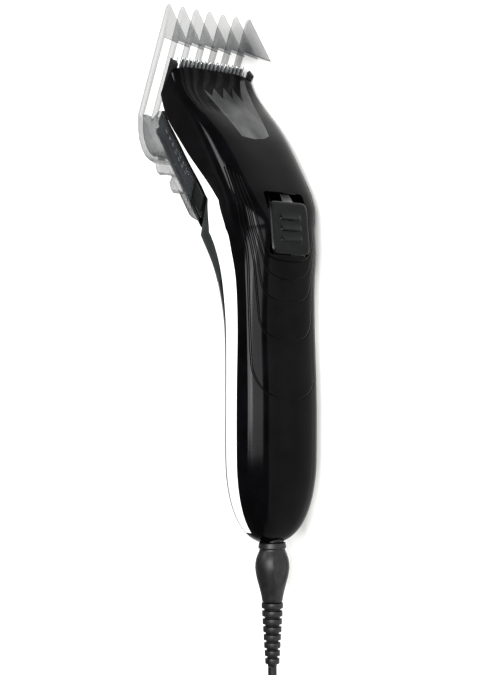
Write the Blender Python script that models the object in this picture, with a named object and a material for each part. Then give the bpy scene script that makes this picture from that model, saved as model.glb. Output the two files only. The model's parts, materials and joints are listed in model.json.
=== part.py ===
"""A corded hair clipper with a sliding length comb, lying on its side.

The clipper is drawn upright: X is its width, -Y its front (the switch side), +Y its back and Z runs up from
the flat bottom of the handle to the head. The empty "lay_down" then turns everything by a quarter turn
about Y, so that the clipper lies on its side with its head towards +X. All sizes below are in millimetres.
"""

import math

import bmesh
import bpy
import numpy as np
from mathutils import Vector

MM = 0.001
GAP = 0.3  # air between neighbouring pieces

# ---- Driving dimensions --------------------------------------------------------------------------

HALF_WIDTH = 20.0  # handle
WALL = 1.8  # casing wall
CAP_HEIGHT = 38.0  # rounded lower end of the handle
CAP_POWER = 2.3
HANDLE_FRONT, HANDLE_BACK = -14.4, 12.8  # front and back of the straight handle, along Y

RAIL_START = (25.1, 150.8)  # lower end of the comb's front edge
RAIL = (0.616, 0.788)  # the comb slides along this direction (Y, Z)
RAIL_OUT = (0.788, -0.616)  # square to it, out of the clipper's back

BLADE_TIP = (42.0, 206.0)  # tips of the guard's teeth
BLADE_UP = (-0.469, 0.884)  # along the teeth, towards their tips
BLADE_OUT = (0.884, 0.469)  # out of the guard, towards the skin

COMB_HALF_WIDTH = 22.05
COMB_PLATE = 1.5
FINGERS = 7

TOOTH_PITCH = 2.05
GUARD_TEETH = 18
CUTTER_TEETH = 16

MOTOR_CENTRE = (18.0, 160.2)
MOTOR_AXIS = (0.640, 0.768)
MOTOR_RADIUS, MOTOR_LENGTH = 8.0, 27.0
CAM_OFFSET = 1.5
CAM_PIN_RADIUS = 1.2

HINGE = (50.6, 188.6)  # axis of the tilting cutting unit

CORD_RADIUS = 1.85
COIL_CENTRE = (-118.0, 24.0)  # along Z and Y
COIL_INNER, COIL_OUTER, COIL_HEIGHT = 13.4, 30.6, 14.6

ADAPTER_LENGTH, ADAPTER_WIDTH, ADAPTER_HEIGHT = 58.0, 36.0, 26.0
ADAPTER_TOP = -176.0
ADAPTER_MIDDLE_Y = -5.0
CORD_EXIT_HEIGHT = 9.0

# Where the middle of the clipper's box, without its cord, lies in the upright drawing.
FLOOR_X = COMB_HALF_WIDTH
MIDDLE_Y = 26.02
MIDDLE_Z = 114.05


# ---- Small helpers -------------------------------------------------------------------------------


def clear_scene():
    for obj in list(bpy.data.objects):
        bpy.data.objects.remove(obj, do_unlink=True)


def make_collection(name, helper=False):
    collection = bpy.data.collections.new(name)
    bpy.context.scene.collection.children.link(collection)
    collection.hide_render = helper
    return collection


def make_material(name, colour, roughness, metallic=0.0, alpha=1.0):
    material = bpy.data.materials.new(name)
    material.use_nodes = True
    shader = material.node_tree.nodes["Principled BSDF"]
    shader.inputs["Base Color"].default_value = (*colour, 1.0)
    shader.inputs["Roughness"].default_value = roughness
    shader.inputs["Metallic"].default_value = metallic
    shader.inputs["Alpha"].default_value = alpha
    material.diffuse_color = (*colour, alpha)
    return material


def along(start, direction, distance, out=(0.0, 0.0), out_distance=0.0):
    """A (Y, Z) point at a distance along one direction and another distance along a second."""
    return (
        start[0] + direction[0] * distance + out[0] * out_distance,
        start[1] + direction[1] * distance + out[1] * out_distance,
    )


def rail_point(u, v):
    return along(RAIL_START, RAIL, u, RAIL_OUT, v)


def blade_point(p, q):
    return along(BLADE_TIP, BLADE_UP, p, BLADE_OUT, q)


def make_empty(name, place, parent):
    empty = bpy.data.objects.new(name, None)
    empty.empty_display_size = 5 * MM
    clipper.objects.link(empty)
    empty.parent = parent
    empty.location = Vector(place) * MM
    return empty


def place_mesh(name, mesh, material, holder):
    """Puts a mesh drawn in upright coordinates into the scene, with its origin at its holder's."""
    collection = cutters if material is None else clipper
    obj = bpy.data.objects.new(name, mesh)
    collection.objects.link(obj)
    obj.parent = holder
    if holder is not lay_down:
        mesh.transform(holder.matrix_basis.inverted())
    if material is None:
        obj.hide_render = True
        obj.display_type = "WIRE"
    else:
        mesh.materials.append(material)
    return obj


def finish_bmesh(bm, name, material, holder, smooth=False):
    bmesh.ops.recalc_face_normals(bm, faces=bm.faces)
    if bm.calc_volume(signed=True) < 0:
        bmesh.ops.reverse_faces(bm, faces=bm.faces)
    mesh = bpy.data.meshes.new(name)
    bm.to_mesh(mesh)
    bm.free()
    if smooth:
        mesh.shade_smooth()
        mesh.set_sharp_from_angle(angle=math.radians(35))
    return place_mesh(name, mesh, material, holder)


def box(name, centre, size, material, holder, axes=None, bevel=0.0):
    """A box; axes gives the (Y, Z) direction of its third side, for boxes that lean with the head."""
    bm = bmesh.new()
    bmesh.ops.create_cube(bm, size=1.0)
    for vert in bm.verts:
        vert.co = Vector(a * b for a, b in zip(vert.co, size))
    if bevel:
        bmesh.ops.bevel(bm, geom=bm.edges, offset=bevel, segments=2, profile=0.5, affect="EDGES")
    up = Vector((0.0, *(axes or (0.0, 1.0))))
    side = Vector((0.0, up.z, -up.y))
    for vert in bm.verts:
        turned = Vector((vert.co.x, 0.0, 0.0)) + side * vert.co.y + up * vert.co.z
        vert.co = (turned + Vector(centre)) * MM
    return finish_bmesh(bm, name, material, holder)


def cylinder(name, centre, radius, length, direction, material, holder, sides=20, end_radius=None):
    bm = bmesh.new()
    bmesh.ops.create_cone(
        bm,
        cap_ends=True,
        segments=sides,
        radius1=radius * MM,
        radius2=(radius if end_radius is None else end_radius) * MM,
        depth=length * MM,
    )
    turn = Vector((0, 0, 1)).rotation_difference(Vector(direction)).to_matrix().to_4x4()
    bm.transform(turn)
    bmesh.ops.translate(bm, verts=bm.verts, vec=Vector(centre) * MM)
    return finish_bmesh(bm, name, material, holder, smooth=True)


def plate(name, outline, x_low, x_high, material, holder):
    """A flat outline in the Y-Z plane, as thick as the space from x_low to x_high."""
    curve = bpy.data.curves.new(name, "CURVE")
    curve.dimensions = "2D"
    curve.fill_mode = "BOTH"
    curve.extrude = (x_high - x_low) / 2 * MM
    spline = curve.splines.new("POLY")
    spline.points.add(len(outline) - 1)
    spline.use_cyclic_u = True
    for point, (y, z) in zip(spline.points, outline):
        point.co = (y * MM, z * MM, 0.0, 1.0)
    drawn = bpy.data.objects.new(name + "_outline", curve)
    clipper.objects.link(drawn)
    bpy.context.view_layer.update()
    graph = bpy.context.evaluated_depsgraph_get()
    mesh = bpy.data.meshes.new_from_object(drawn.evaluated_get(graph))
    bpy.data.objects.remove(drawn, do_unlink=True)
    bm = bmesh.new()
    bm.from_mesh(mesh)
    bmesh.ops.remove_doubles(bm, verts=bm.verts, dist=0.00001)
    bpy.data.meshes.remove(mesh)
    middle = (x_low + x_high) / 2 * MM
    for vert in bm.verts:
        vert.co = Vector((vert.co.z + middle, vert.co.x, vert.co.y))
    return finish_bmesh(bm, name, material, holder)


def turned(name, profile, foot, direction, material, holder, steps=24):
    """A profile of (radius, height) points, from its top to its foot, turned about a direction."""
    bm = bmesh.new()
    verts = [bm.verts.new((radius * MM, 0.0, height * MM)) for radius, height in profile]
    for first, second in zip(verts, verts[1:]):
        bm.edges.new((first, second))
    bmesh.ops.spin(
        bm,
        geom=bm.verts[:] + bm.edges[:],
        angle=2 * math.pi,
        steps=steps,
        axis=(0.0, 0.0, 1.0),
        cent=(0.0, 0.0, 0.0),
    )
    bmesh.ops.remove_doubles(bm, verts=bm.verts, dist=0.00001)
    turn = Vector((0, 0, 1)).rotation_difference(Vector(direction)).to_matrix().to_4x4()
    bm.transform(turn)
    bmesh.ops.translate(bm, verts=bm.verts, vec=Vector(foot) * MM)
    return finish_bmesh(bm, name, material, holder, smooth=True)


def tube(name, points, radius, material, holder):
    """A round tube along points that are already close together."""
    curve = bpy.data.curves.new(name, "CURVE")
    curve.dimensions = "3D"
    curve.bevel_depth = radius * MM
    curve.bevel_resolution = 2
    curve.use_fill_caps = True
    spline = curve.splines.new("POLY")
    spline.points.add(len(points) - 1)
    for point, place in zip(spline.points, points):
        point.co = (*(Vector(place) * MM), 1.0)
    obj = bpy.data.objects.new(name, curve)
    clipper.objects.link(obj)
    obj.parent = holder
    curve.materials.append(material)
    return obj


def boolean(obj, other, operation):
    modifier = obj.modifiers.new(other.name, "BOOLEAN")
    modifier.operation = operation
    modifier.solver = "EXACT"
    modifier.object = other


def cut(obj, *tools):
    for tool in tools:
        boolean(obj, tool, "DIFFERENCE")


def join(obj, *others):
    for other in others:
        boolean(obj, other, "UNION")


def smooth_route(points, spacing):
    """Points about one spacing apart on a smooth curve through the given ones."""
    points = [Vector(p) for p in points]
    route = []
    for i, (start, end) in enumerate(zip(points, points[1:])):
        before = points[i - 1] if i else start * 2 - end
        after = points[i + 2] if i + 2 < len(points) else end * 2 - start
        steps = max(1, round((end - start).length / spacing))
        for step in range(steps):
            t = step / steps
            route.append(
                0.5
                * (
                    2 * start
                    + (end - before) * t
                    + (2 * before - 5 * start + 4 * end - after) * t**2
                    + (3 * start - before - 3 * end + after) * t**3
                )
            )
    return route + [points[-1]]


# ---- The casing's surface ------------------------------------------------------------------------
# Each station is one closed section: its front and back points (Y, Z), its half width, how square its
# front and back halves are, and where the white trim's front and back edges lie. Those two run from 1 at the front,
# through 0 at the widest place, to -1 at the back.


def cap_station(height):
    shrink = (1 - (1 - (height + 1) / CAP_HEIGHT) ** CAP_POWER) ** (1 / CAP_POWER)
    middle = (HANDLE_FRONT + HANDLE_BACK) / 2
    half = (HANDLE_BACK - HANDLE_FRONT) / 2 * shrink
    return (middle - half, height, middle + half, height, HALF_WIDTH * shrink, 2.3, 2.3, 0.25, -0.3)


STATIONS = [cap_station(height) for height in (0.0, 1.5, 4.0, 8.0, 13.0, 19.0, 27.0)] + [
    (HANDLE_FRONT, 37.0, HANDLE_BACK, 37.0, HALF_WIDTH, 2.3, 2.3, 0.25, -0.30),
    (HANDLE_FRONT, 60.0, HANDLE_BACK, 60.0, HALF_WIDTH, 2.3, 2.3, 0.25, -0.30),
    (-13.3, 88.0, 13.7, 87.0, 19.6, 2.4, 2.4, 0.31, -0.27),
    (-13.7, 107.0, 16.4, 103.0, 19.8, 2.4, 3.0, 0.30, -0.28),
    (-14.7, 119.0, 19.6, 114.0, 20.2, 2.5, 4.0, 0.21, -0.34),
    (-14.5, 128.0, 25.4, 126.0, 20.6, 2.6, 6.0, 0.15, -0.43),
    (-12.2, 136.0, 18.4, 141.0, 20.9, 2.9, 9.0, -0.25, -0.77),
    (-8.2, 143.8, 20.5, 145.6, 21.1, 3.1, 12.0, -0.43, -0.93),
    (6.8, 165.0, 29.4, 156.9, 21.5, 3.5, 14.0, -0.68, -0.96),
    (18.0, 176.5, 37.2, 167.2, 21.7, 4.4, 14.0, -0.80, -0.965),
    (30.3, 187.4, 44.6, 176.9, 21.9, 4.8, 14.0, -0.90, -0.965),
    (36.0, 194.0, 48.6, 182.6, 21.9, 4.6, 10.0, -0.94, -0.97),
    (39.6, 200.9, 51.4, 188.2, 21.8, 4.2, 8.0, -0.90, -0.93),
]
NECK_EDGE, NECK_STEP = 12, 13  # the back steps in between these two stations, under the comb's lower end
TRIM_FIRST, TRIM_LAST = 2, 17.5  # the trim runs between these two stations
ROWS_PER_STATION = 2


def station_at(row):
    """A station between two listed ones, on smooth curves, with a sharp step at the back of the neck."""
    table = np.array(STATIONS)
    middles = (table[:, 0:2] + table[:, 2:4]) / 2
    knots = np.concatenate([[0], np.cumsum(np.linalg.norm(np.diff(middles, axis=0), axis=1))])
    low = min(int(row), len(table) - 2)
    f = row - low
    span = knots[low + 1] - knots[low]
    chord = table[low + 1] - table[low]
    slopes = []
    for k in (low, low + 1):
        if k in (0, len(table) - 1):
            slopes.append(chord)
            continue
        slope = (table[k + 1] - table[k - 1]) / (knots[k + 1] - knots[k - 1]) * span
        if k in (NECK_EDGE, NECK_STEP):
            slope[2:4] = chord[2:4]
        slopes.append(slope)
    return (
        (2 * f**3 - 3 * f**2 + 1) * table[low]
        + (f**3 - 2 * f**2 + f) * slopes[0]
        + (-2 * f**3 + 3 * f**2) * table[low + 1]
        + (f**3 - f**2) * slopes[1]
    )


def angle_of(place, station):
    """The section angle of a place between 1 (front) and -1 (back)."""
    power = station[5] if place > 0 else station[6]
    return math.acos(math.copysign(abs(place) ** (power / 2), place))


def section_point(station, angle):
    front_y, front_z, back_y, back_z, half_width, front_power, back_power = station[:7]
    power = front_power if math.cos(angle) > 0 else back_power
    forward = math.copysign(abs(math.cos(angle)) ** (2 / power), math.cos(angle))
    side = math.copysign(abs(math.sin(angle)) ** (2 / power), math.sin(angle))
    return Vector(
        (
            half_width * side,
            (front_y + back_y) / 2 + (front_y - back_y) / 2 * forward,
            (front_z + back_z) / 2 + (front_z - back_z) / 2 * forward,
        )
    )


def seam_angles(station, row):
    """The angles of the trim's front and back edges; past its ends the two halves meet on one line."""
    front, back = station[7], station[8]
    if not TRIM_FIRST <= row <= TRIM_LAST:
        front = back = (front + back) / 2
    half_depth = math.hypot(station[0] - station[2], station[1] - station[3]) / 2
    margin = GAP / 2 / half_depth
    trim = (angle_of(front - margin, station), angle_of(max(back + margin, -0.999), station))
    casing = (angle_of(front + margin, station), angle_of(max(back - margin, -0.999), station))
    return trim, casing


def inner_station(station, row):
    """The same section one wall thickness further in; in the rounded lower end it also moves up."""
    front, back = Vector(station[0:2]), Vector(station[2:4])
    inward = (back - front).normalized() * WALL
    lift = Vector((0.0, 0.0))
    if row < NECK_EDGE:
        lift = Vector((0.0, WALL * (1 - min(1.0, station[4] / HALF_WIDTH))))
    return (*(front + inward + lift), *(back - inward + lift), station[4] - WALL, *station[5:])


def casing_patch(name, rows, angle_range, columns, material):
    """A strip of the casing: its outer surface, the same surface one wall in, and the rim between."""
    bm = bmesh.new()
    outer, inner = [], []
    for row in rows:
        station = station_at(row)
        first, last = angle_range(station, row)
        angles = [first + (last - first) * c / columns for c in range(columns + 1)]
        outer.append([bm.verts.new(section_point(station, a) * MM) for a in angles])
        inner.append([bm.verts.new(section_point(inner_station(station, row), a) * MM) for a in angles])
    for grid in (outer, inner):
        for lower, upper in zip(grid, grid[1:]):
            for c in range(columns):
                bm.faces.new((lower[c], lower[c + 1], upper[c + 1], upper[c]))
    for end in (0, -1):
        for c in range(columns):
            bm.faces.new((outer[end][c], outer[end][c + 1], inner[end][c + 1], inner[end][c]))
        for r in range(len(rows) - 1):
            bm.faces.new((outer[r][end], outer[r + 1][end], inner[r + 1][end], inner[r][end]))
    return finish_bmesh(bm, name, material, lay_down, smooth=True)


ALL_ROWS = [i / ROWS_PER_STATION for i in range((len(STATIONS) - 1) * ROWS_PER_STATION + 1)]
TRIM_ROWS = [row for row in ALL_ROWS if TRIM_FIRST <= row <= TRIM_LAST]


def make_casing():
    front = casing_patch(
        "front_shell",
        ALL_ROWS,
        lambda s, row: (-seam_angles(s, row)[1][0], seam_angles(s, row)[1][0]),
        18,
        black_gloss,
    )
    back = casing_patch(
        "back_shell",
        ALL_ROWS,
        lambda s, row: (seam_angles(s, row)[1][1], 2 * math.pi - seam_angles(s, row)[1][1]),
        14,
        black_matt,
    )
    casing_patch("trim_right", TRIM_ROWS, lambda s, row: seam_angles(s, row)[0], 3, white_gloss)
    casing_patch(
        "trim_left",
        TRIM_ROWS,
        lambda s, row: tuple(-a for a in reversed(seam_angles(s, row)[0])),
        3,
        white_gloss,
    )
    return front, back


# ---- Switch --------------------------------------------------------------------------------------

SWITCH_MIDDLE = (-14.0, 129.2)  # middle of its recess on the front of the casing
SWITCH_UP = (0.113, 0.9936)  # it slides along this direction, up towards the head
SWITCH_HALF_WIDTH = 9.6
SWITCH_LENGTH = 21.6
SWITCH_TRAVEL = 4.2
SWITCH_RIDGES = 3


def switch_point(along_slot, inward):
    """A point in the switch's recess: a distance up from its middle, and a depth into the casing."""
    return along(SWITCH_MIDDLE, SWITCH_UP, along_slot, (SWITCH_UP[1], -SWITCH_UP[0]), inward)


def make_switch(front_shell):
    slot_length = SWITCH_LENGTH + SWITCH_TRAVEL + 2 * GAP
    opening = box(
        "switch_opening",
        (0, *switch_point(0, 0)),
        (2 * SWITCH_HALF_WIDTH + 2 * GAP, 12, slot_length),
        None,
        lay_down,
        axes=SWITCH_UP,
        bevel=1.4,
    )
    cut(front_shell, opening)
    rest = -SWITCH_TRAVEL / 2  # switched off, at the lower end of the recess
    slider = box(
        "switch_slider",
        (0, *switch_point(rest, 1.0)),
        (2 * SWITCH_HALF_WIDTH, 3.2, SWITCH_LENGTH),
        dark_grey,
        switch_axis,
        axes=SWITCH_UP,
        bevel=0.9,
    )
    for i in range(SWITCH_RIDGES):
        place = rest - 5.0 + 5.0 * i
        ridge = box(
            f"switch_ridge_{i}",
            (0, *switch_point(place, -0.6)),
            (10, 1.2, 1.2),
            None,
            switch_axis,
            axes=SWITCH_UP,
        )
        join(slider, ridge)
    stem = box("switch_stem", (0, *switch_point(rest, 4.2)), (6, 4.4, 5), None, switch_axis, axes=SWITCH_UP)
    join(slider, stem)
    box(
        "switch_contacts",
        (0, *switch_point(0, 9.2)),
        (12, 4.4, 14),
        board_green,
        lay_down,
        axes=SWITCH_UP,
        bevel=0.4,
    )


# ---- Comb guide and comb -------------------------------------------------------------------------

GUIDE_DEPTH = 14.7
GUIDE_HALF_WIDTH = 20.1
ARCH_FOOT = 5.0  # the guide's and the comb's back arch over from this depth on
ARCH_POWER = 3.5
COMB_INNER, COMB_OUTER = 15.0, 16.6  # inner and outer face of the comb's back plate, out from the rail line
COMB_LOW_FRONT, COMB_LOW_BACK = (-1.8, 0.3), (-10.6, COMB_OUTER + 0.4)  # its slanting lower end
HEEL_START = 26.0  # the back plate meets the heel here, along the rail
HEEL_STEP = 0.12  # the heel is this much thicker than the back plate, on both faces
SKIN_TOP, SKIN_LOW = (45.4, 226.8), (68.0, 184.0)  # the edge of the comb that runs on the skin
FINGER_DEPTH = 3.2
COMB_HEEL = [(68.1, 181.0), (68.0, 177.0), (67.1, 172.6), (64.8, 167.9), (61.6, 164.2), (58.0, 161.9)]
FINGER_HEAD = [(43.65, 228.1), (27.9, 205.8)]
# Two thumb ridges across the back plate: half width and outline, along the rail and out from it.
THUMB_RIDGES = (
    (21.6, [(26.0, 9.0), (24.6, 17.6), (21.5, 18.6), (18.6, 17.6), (15.6, 14.4), (14.6, 9.0)]),
    (19.2, [(14.5, 12.0), (13.5, 16.8), (10.5, 17.8), (7.4, 17.2), (5.6, 12.0)]),
)


def arch_outline(half_width, depth, foot=0.5, points=15):
    """Half a rounded box in (X, depth): straight sides, then a square-shouldered arch over the back."""
    outline = [(half_width, foot)]
    for k in range(points + 1):
        angle = math.pi * k / points
        across = math.copysign(abs(math.cos(angle)) ** (2 / ARCH_POWER), math.cos(angle))
        rise = abs(math.sin(angle)) ** (2 / ARCH_POWER)
        outline.append((half_width * across, ARCH_FOOT + (depth - ARCH_FOOT) * rise))
    return outline + [(-half_width, foot)]


def rail_prism(name, outline, start, end, material, holder):
    """An (X, depth) outline, drawn out along the rail."""
    bm = bmesh.new()
    face = bm.faces.new([bm.verts.new((x, depth, start)) for x, depth in outline])
    raised = bmesh.ops.extrude_face_region(bm, geom=[face])["geom"]
    tips = [v for v in raised if isinstance(v, bmesh.types.BMVert)]
    bmesh.ops.translate(bm, verts=tips, vec=(0, 0, end - start))
    for vert in bm.verts:
        vert.co = Vector((vert.co.x, *rail_point(vert.co.z, vert.co.y))) * MM
    return finish_bmesh(bm, name, material, holder)


def make_comb_guide():
    guide = rail_prism(
        "comb_guide", arch_outline(GUIDE_HALF_WIDTH, GUIDE_DEPTH), -40, 60, black_matt, lay_down
    )
    side_view = [(-10.4, 0.4), (-19.0, 15.6), (35.5, 15.6), (38.5, 11.0), (41.5, 0.4)]
    ends = plate("guide_ends", [rail_point(*p) for p in side_view], -30, 30, None, lay_down)
    boolean(guide, ends, "INTERSECT")
    for side in (-1, 1):
        groove = plate(
            f"guide_groove_{side}",
            [rail_point(-30, 6.4), rail_point(-30, 8.8), rail_point(60, 8.8), rail_point(60, 6.4)],
            side * 20.5 - 1.6,
            side * 20.5 + 1.6,
            None,
            lay_down,
        )
        cut(guide, groove)
    hollow = plate(
        "guide_hollow",
        [rail_point(-10, -1), rail_point(-14, 10), rail_point(34, 10), rail_point(36, -1)],
        -13,
        13,
        None,
        lay_down,
    )
    seat = box("spring_seat", (0, *rail_point(18, GUIDE_DEPTH)), (5.2, 3.0, 16.6), None, lay_down, axes=RAIL)
    cut(guide, hollow, seat)
    spring_place = rail_point(18, GUIDE_DEPTH - 0.8)
    box("comb_detent_spring", (0, *spring_place), (4.4, 0.5, 16), spring_steel, lay_down, axes=RAIL)


def finger_outline(is_side):
    """A finger: its bar along the skin line and its pointed head; the outer ones join the side plates."""
    down = Vector(SKIN_LOW) - Vector(SKIN_TOP)
    inward = Vector((down.y, -down.x)).normalized() * FINGER_DEPTH
    bar_low, bar_top = Vector(SKIN_LOW) + inward, Vector((50.1, 215.4)) + inward * 0.75
    head_and_bar = [SKIN_TOP, FINGER_HEAD[0], FINGER_HEAD[1], tuple(bar_top), tuple(bar_low)]
    if not is_side:
        return head_and_bar + [(66.4, 180.0), (67.9, 180.0), SKIN_LOW]
    flange = [
        (61.5, 183.0),
        (58.0, 180.9),
        rail_point(42.4, 8.0),
        rail_point(40.6, 0.3),
        rail_point(*COMB_LOW_FRONT),
        rail_point(-4.8, 6.4),
        rail_point(HEEL_START - 3.0, 6.4),
        rail_point(HEEL_START, COMB_OUTER - 1.0),
    ]
    return head_and_bar + flange + list(reversed(COMB_HEEL)) + [SKIN_LOW]


def heel_outline():
    """The comb's heel, from the end of its back plate up to the feet of the fingers."""
    inner = [
        (66.2, 183.2),
        (66.4, 177.4),
        (65.5, 173.2),
        (63.4, 169.0),
        (60.5, 165.6),
        (57.0, 163.6),
        rail_point(HEEL_START + 2.0, COMB_INNER - HEEL_STEP),
        rail_point(HEEL_START - 1.5, COMB_INNER - HEEL_STEP),
    ]
    start = rail_point(HEEL_START - 1.5, COMB_OUTER + HEEL_STEP)
    return [start] + list(reversed(COMB_HEEL)) + [SKIN_LOW] + inner


def make_comb():
    comb = rail_prism(
        "length_comb", arch_outline(COMB_HALF_WIDTH, COMB_OUTER, foot=2.0), -30, HEEL_START, clear_plastic,
        comb_axis,
    )
    inside = rail_prism(
        "comb_inside", arch_outline(COMB_HALF_WIDTH - COMB_PLATE, COMB_INNER, foot=-5.0), -40, 60, None,
        comb_axis,
    )
    low_end = plate(
        "comb_low_end",
        [rail_point(*COMB_LOW_FRONT), rail_point(*COMB_LOW_BACK), rail_point(-50, 17), rail_point(-50, 0.3)],
        -30,
        30,
        None,
        comb_axis,
    )
    for i, (half_width, outline) in enumerate(THUMB_RIDGES):
        points = [rail_point(*p) for p in outline]
        join(comb, plate(f"thumb_ridge_{i}", points, -half_width, half_width, None, comb_axis))
    cut(comb, inside, low_end)
    heel = plate("comb_heel", heel_outline(), -COMB_HALF_WIDTH, COMB_HALF_WIDTH, None, comb_axis)
    join(comb, heel)
    outer_middle = COMB_HALF_WIDTH - COMB_PLATE / 2
    pitch = 2 * outer_middle / (FINGERS - 1)
    for i in range(FINGERS):
        middle = -outer_middle + i * pitch
        is_side = i in (0, FINGERS - 1)
        low, high = middle - COMB_PLATE / 2, middle + COMB_PLATE / 2
        finger = plate(f"comb_finger_{i}", finger_outline(is_side), low, high, None, comb_axis)
        join(comb, finger)
    for side in (-1, 1):
        place = (side * 20.35, *rail_point(12.2, 7.6))
        runner = box(f"comb_runner_{side}", place, (1.9, 1.5, 21), None, comb_axis, axes=RAIL)
        join(comb, runner)


# ---- Cutting unit --------------------------------------------------------------------------------

GUARD_THICKNESS = 0.9
CUTTER_THICKNESS = 0.8
TOOTH_LENGTH = 5.6
GUARD_LENGTH = 13.6


def toothed_plate(name, teeth, tip, length, side_land, q_low, q_high, material, holder):
    """A comb-like steel plate: a straight back and evenly spaced pointed teeth, stood on the head."""
    half = (teeth - 1) / 2 * TOOTH_PITCH
    root = tip - TOOTH_LENGTH
    outline = [(-half - side_land, -length), (-half - side_land, root)]
    for i in range(teeth):
        x = -half + i * TOOTH_PITCH
        outline += [(x - 0.55, root), (x - 0.3, tip - 0.5), (x + 0.3, tip - 0.5), (x + 0.55, root)]
    outline += [(half + side_land, root), (half + side_land, -length)]
    bm = bmesh.new()
    verts = [bm.verts.new((x, p, 0.0)) for x, p in outline]
    face = bm.faces.new(verts)
    raised = bmesh.ops.extrude_face_region(bm, geom=[face])["geom"]
    bmesh.ops.translate(
        bm, verts=[v for v in raised if isinstance(v, bmesh.types.BMVert)], vec=(0, 0, q_high - q_low)
    )
    for vert in bm.verts:
        y, z = blade_point(vert.co.y, vert.co.z + q_low)
        vert.co = Vector((vert.co.x, y, z)) * MM
    bm.normal_update()
    bmesh.ops.triangulate(bm, faces=[f for f in bm.faces if len(f.verts) > 4], ngon_method="EAR_CLIP")
    return finish_bmesh(bm, name, material, holder)


def make_cutting_unit():
    toothed_plate(
        "guard_blade", GUARD_TEETH, 0.0, GUARD_LENGTH, 2.4, -GUARD_THICKNESS, 0.0, bright_steel, unit_axis
    )
    cutter_top = -GUARD_THICKNESS - 0.25
    toothed_plate(
        "cutter_blade",
        CUTTER_TEETH,
        -0.7,
        10.6,
        1.0,
        cutter_top - CUTTER_THICKNESS,
        cutter_top,
        bright_steel,
        cutter_axis,
    )
    frame = plate(
        "cutter_frame",
        [
            blade_point(-1.6, -0.1),
            blade_point(-3.0, -4.1),
            blade_point(-15.8, -0.8),
            blade_point(-15.8, 0.0),
        ],
        -21.2,
        21.2,
        black_matt,
        unit_axis,
    )
    seat = plate(
        "guard_seat",
        [blade_point(2, -1.15), blade_point(-13.9, -1.15), blade_point(-13.9, 3), blade_point(2, 3)],
        -20.3,
        20.3,
        None,
        unit_axis,
    )
    window = plate(
        "frame_window",
        [blade_point(2, -6), blade_point(-12.6, -6), blade_point(-12.6, 3), blade_point(2, 3)],
        -18.9,
        18.9,
        None,
        unit_axis,
    )
    cut(frame, seat, window)
    bridge = box(
        "cutter_bridge",
        (0, *blade_point(-8.7, -3.1)),
        (15, 1.6, 4.0),
        white_plastic,
        cutter_axis,
        axes=BLADE_UP,
    )
    for side in (-1, 1):
        prong = box(
            f"bridge_prong_{side}",
            (side * 5.5, 40.5, 190.2),
            (1.6, 2.6, 15.0),
            None,
            cutter_axis,
            axes=(0.414, 0.911),
        )
        join(bridge, prong)
    spring = [(side * x, *blade_point(p, q)) for side, x, p, q in (
        (-1, 14.0, -8.0, -3.6),
        (-1, 13.0, -11.2, -3.2),
        (-1, 10.0, -12.2, -3.1),
        (1, 10.0, -12.2, -3.1),
        (1, 13.0, -11.2, -3.2),
        (1, 14.0, -8.0, -3.6),
    )]
    route = smooth_route([relative(p, unit_axis) for p in spring], 2.0)
    tube("cutter_spring", route, 0.45, spring_steel, unit_axis)


def relative(point, holder):
    """A point seen from the holder's origin, for curves, whose points are not moved by place_mesh."""
    return Vector(point) - holder.location / MM


# ---- Drive ---------------------------------------------------------------------------------------


def motor_point(distance, offset=0.0):
    return along(MOTOR_CENTRE, MOTOR_AXIS, distance, (-MOTOR_AXIS[1], MOTOR_AXIS[0]), offset)


def make_drive():
    axis = (0.0, *MOTOR_AXIS)
    half = MOTOR_LENGTH / 2
    cylinder("motor_can", (0, *motor_point(0.8)), MOTOR_RADIUS, MOTOR_LENGTH - 3, axis, zinc, lay_down, 24)
    cylinder("motor_end_cap", (0, *motor_point(-half + 0.6)), 7.7, 2.6, axis, black_matt, lay_down, 24)
    cylinder("motor_shaft", (0, *motor_point(half + 5.2)), 1.0, 8.6, axis, bright_steel, motor_axis, 12)
    hub = (0, *motor_point(half + 12.0))
    cam = cylinder("drive_cam", hub, 3.2, 4.2, axis, white_plastic, motor_axis, 20)
    pin = cylinder(
        "cam_pin", (0, *motor_point(half + 17.0, CAM_OFFSET)), CAM_PIN_RADIUS, 8.0, axis, None, motor_axis,
        12,
    )
    join(cam, pin)
    bracket = cylinder(
        "motor_bracket", (0, *motor_point(half + 0.9)), 8.2, 1.8, axis, black_matt, lay_down, 24
    )
    bore = cylinder("bracket_bore", (0, *motor_point(half + 0.9)), 2.0, 6, axis, None, lay_down, 16)
    cut(bracket, bore)


# ---- Electrics in the handle ---------------------------------------------------------------------


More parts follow.
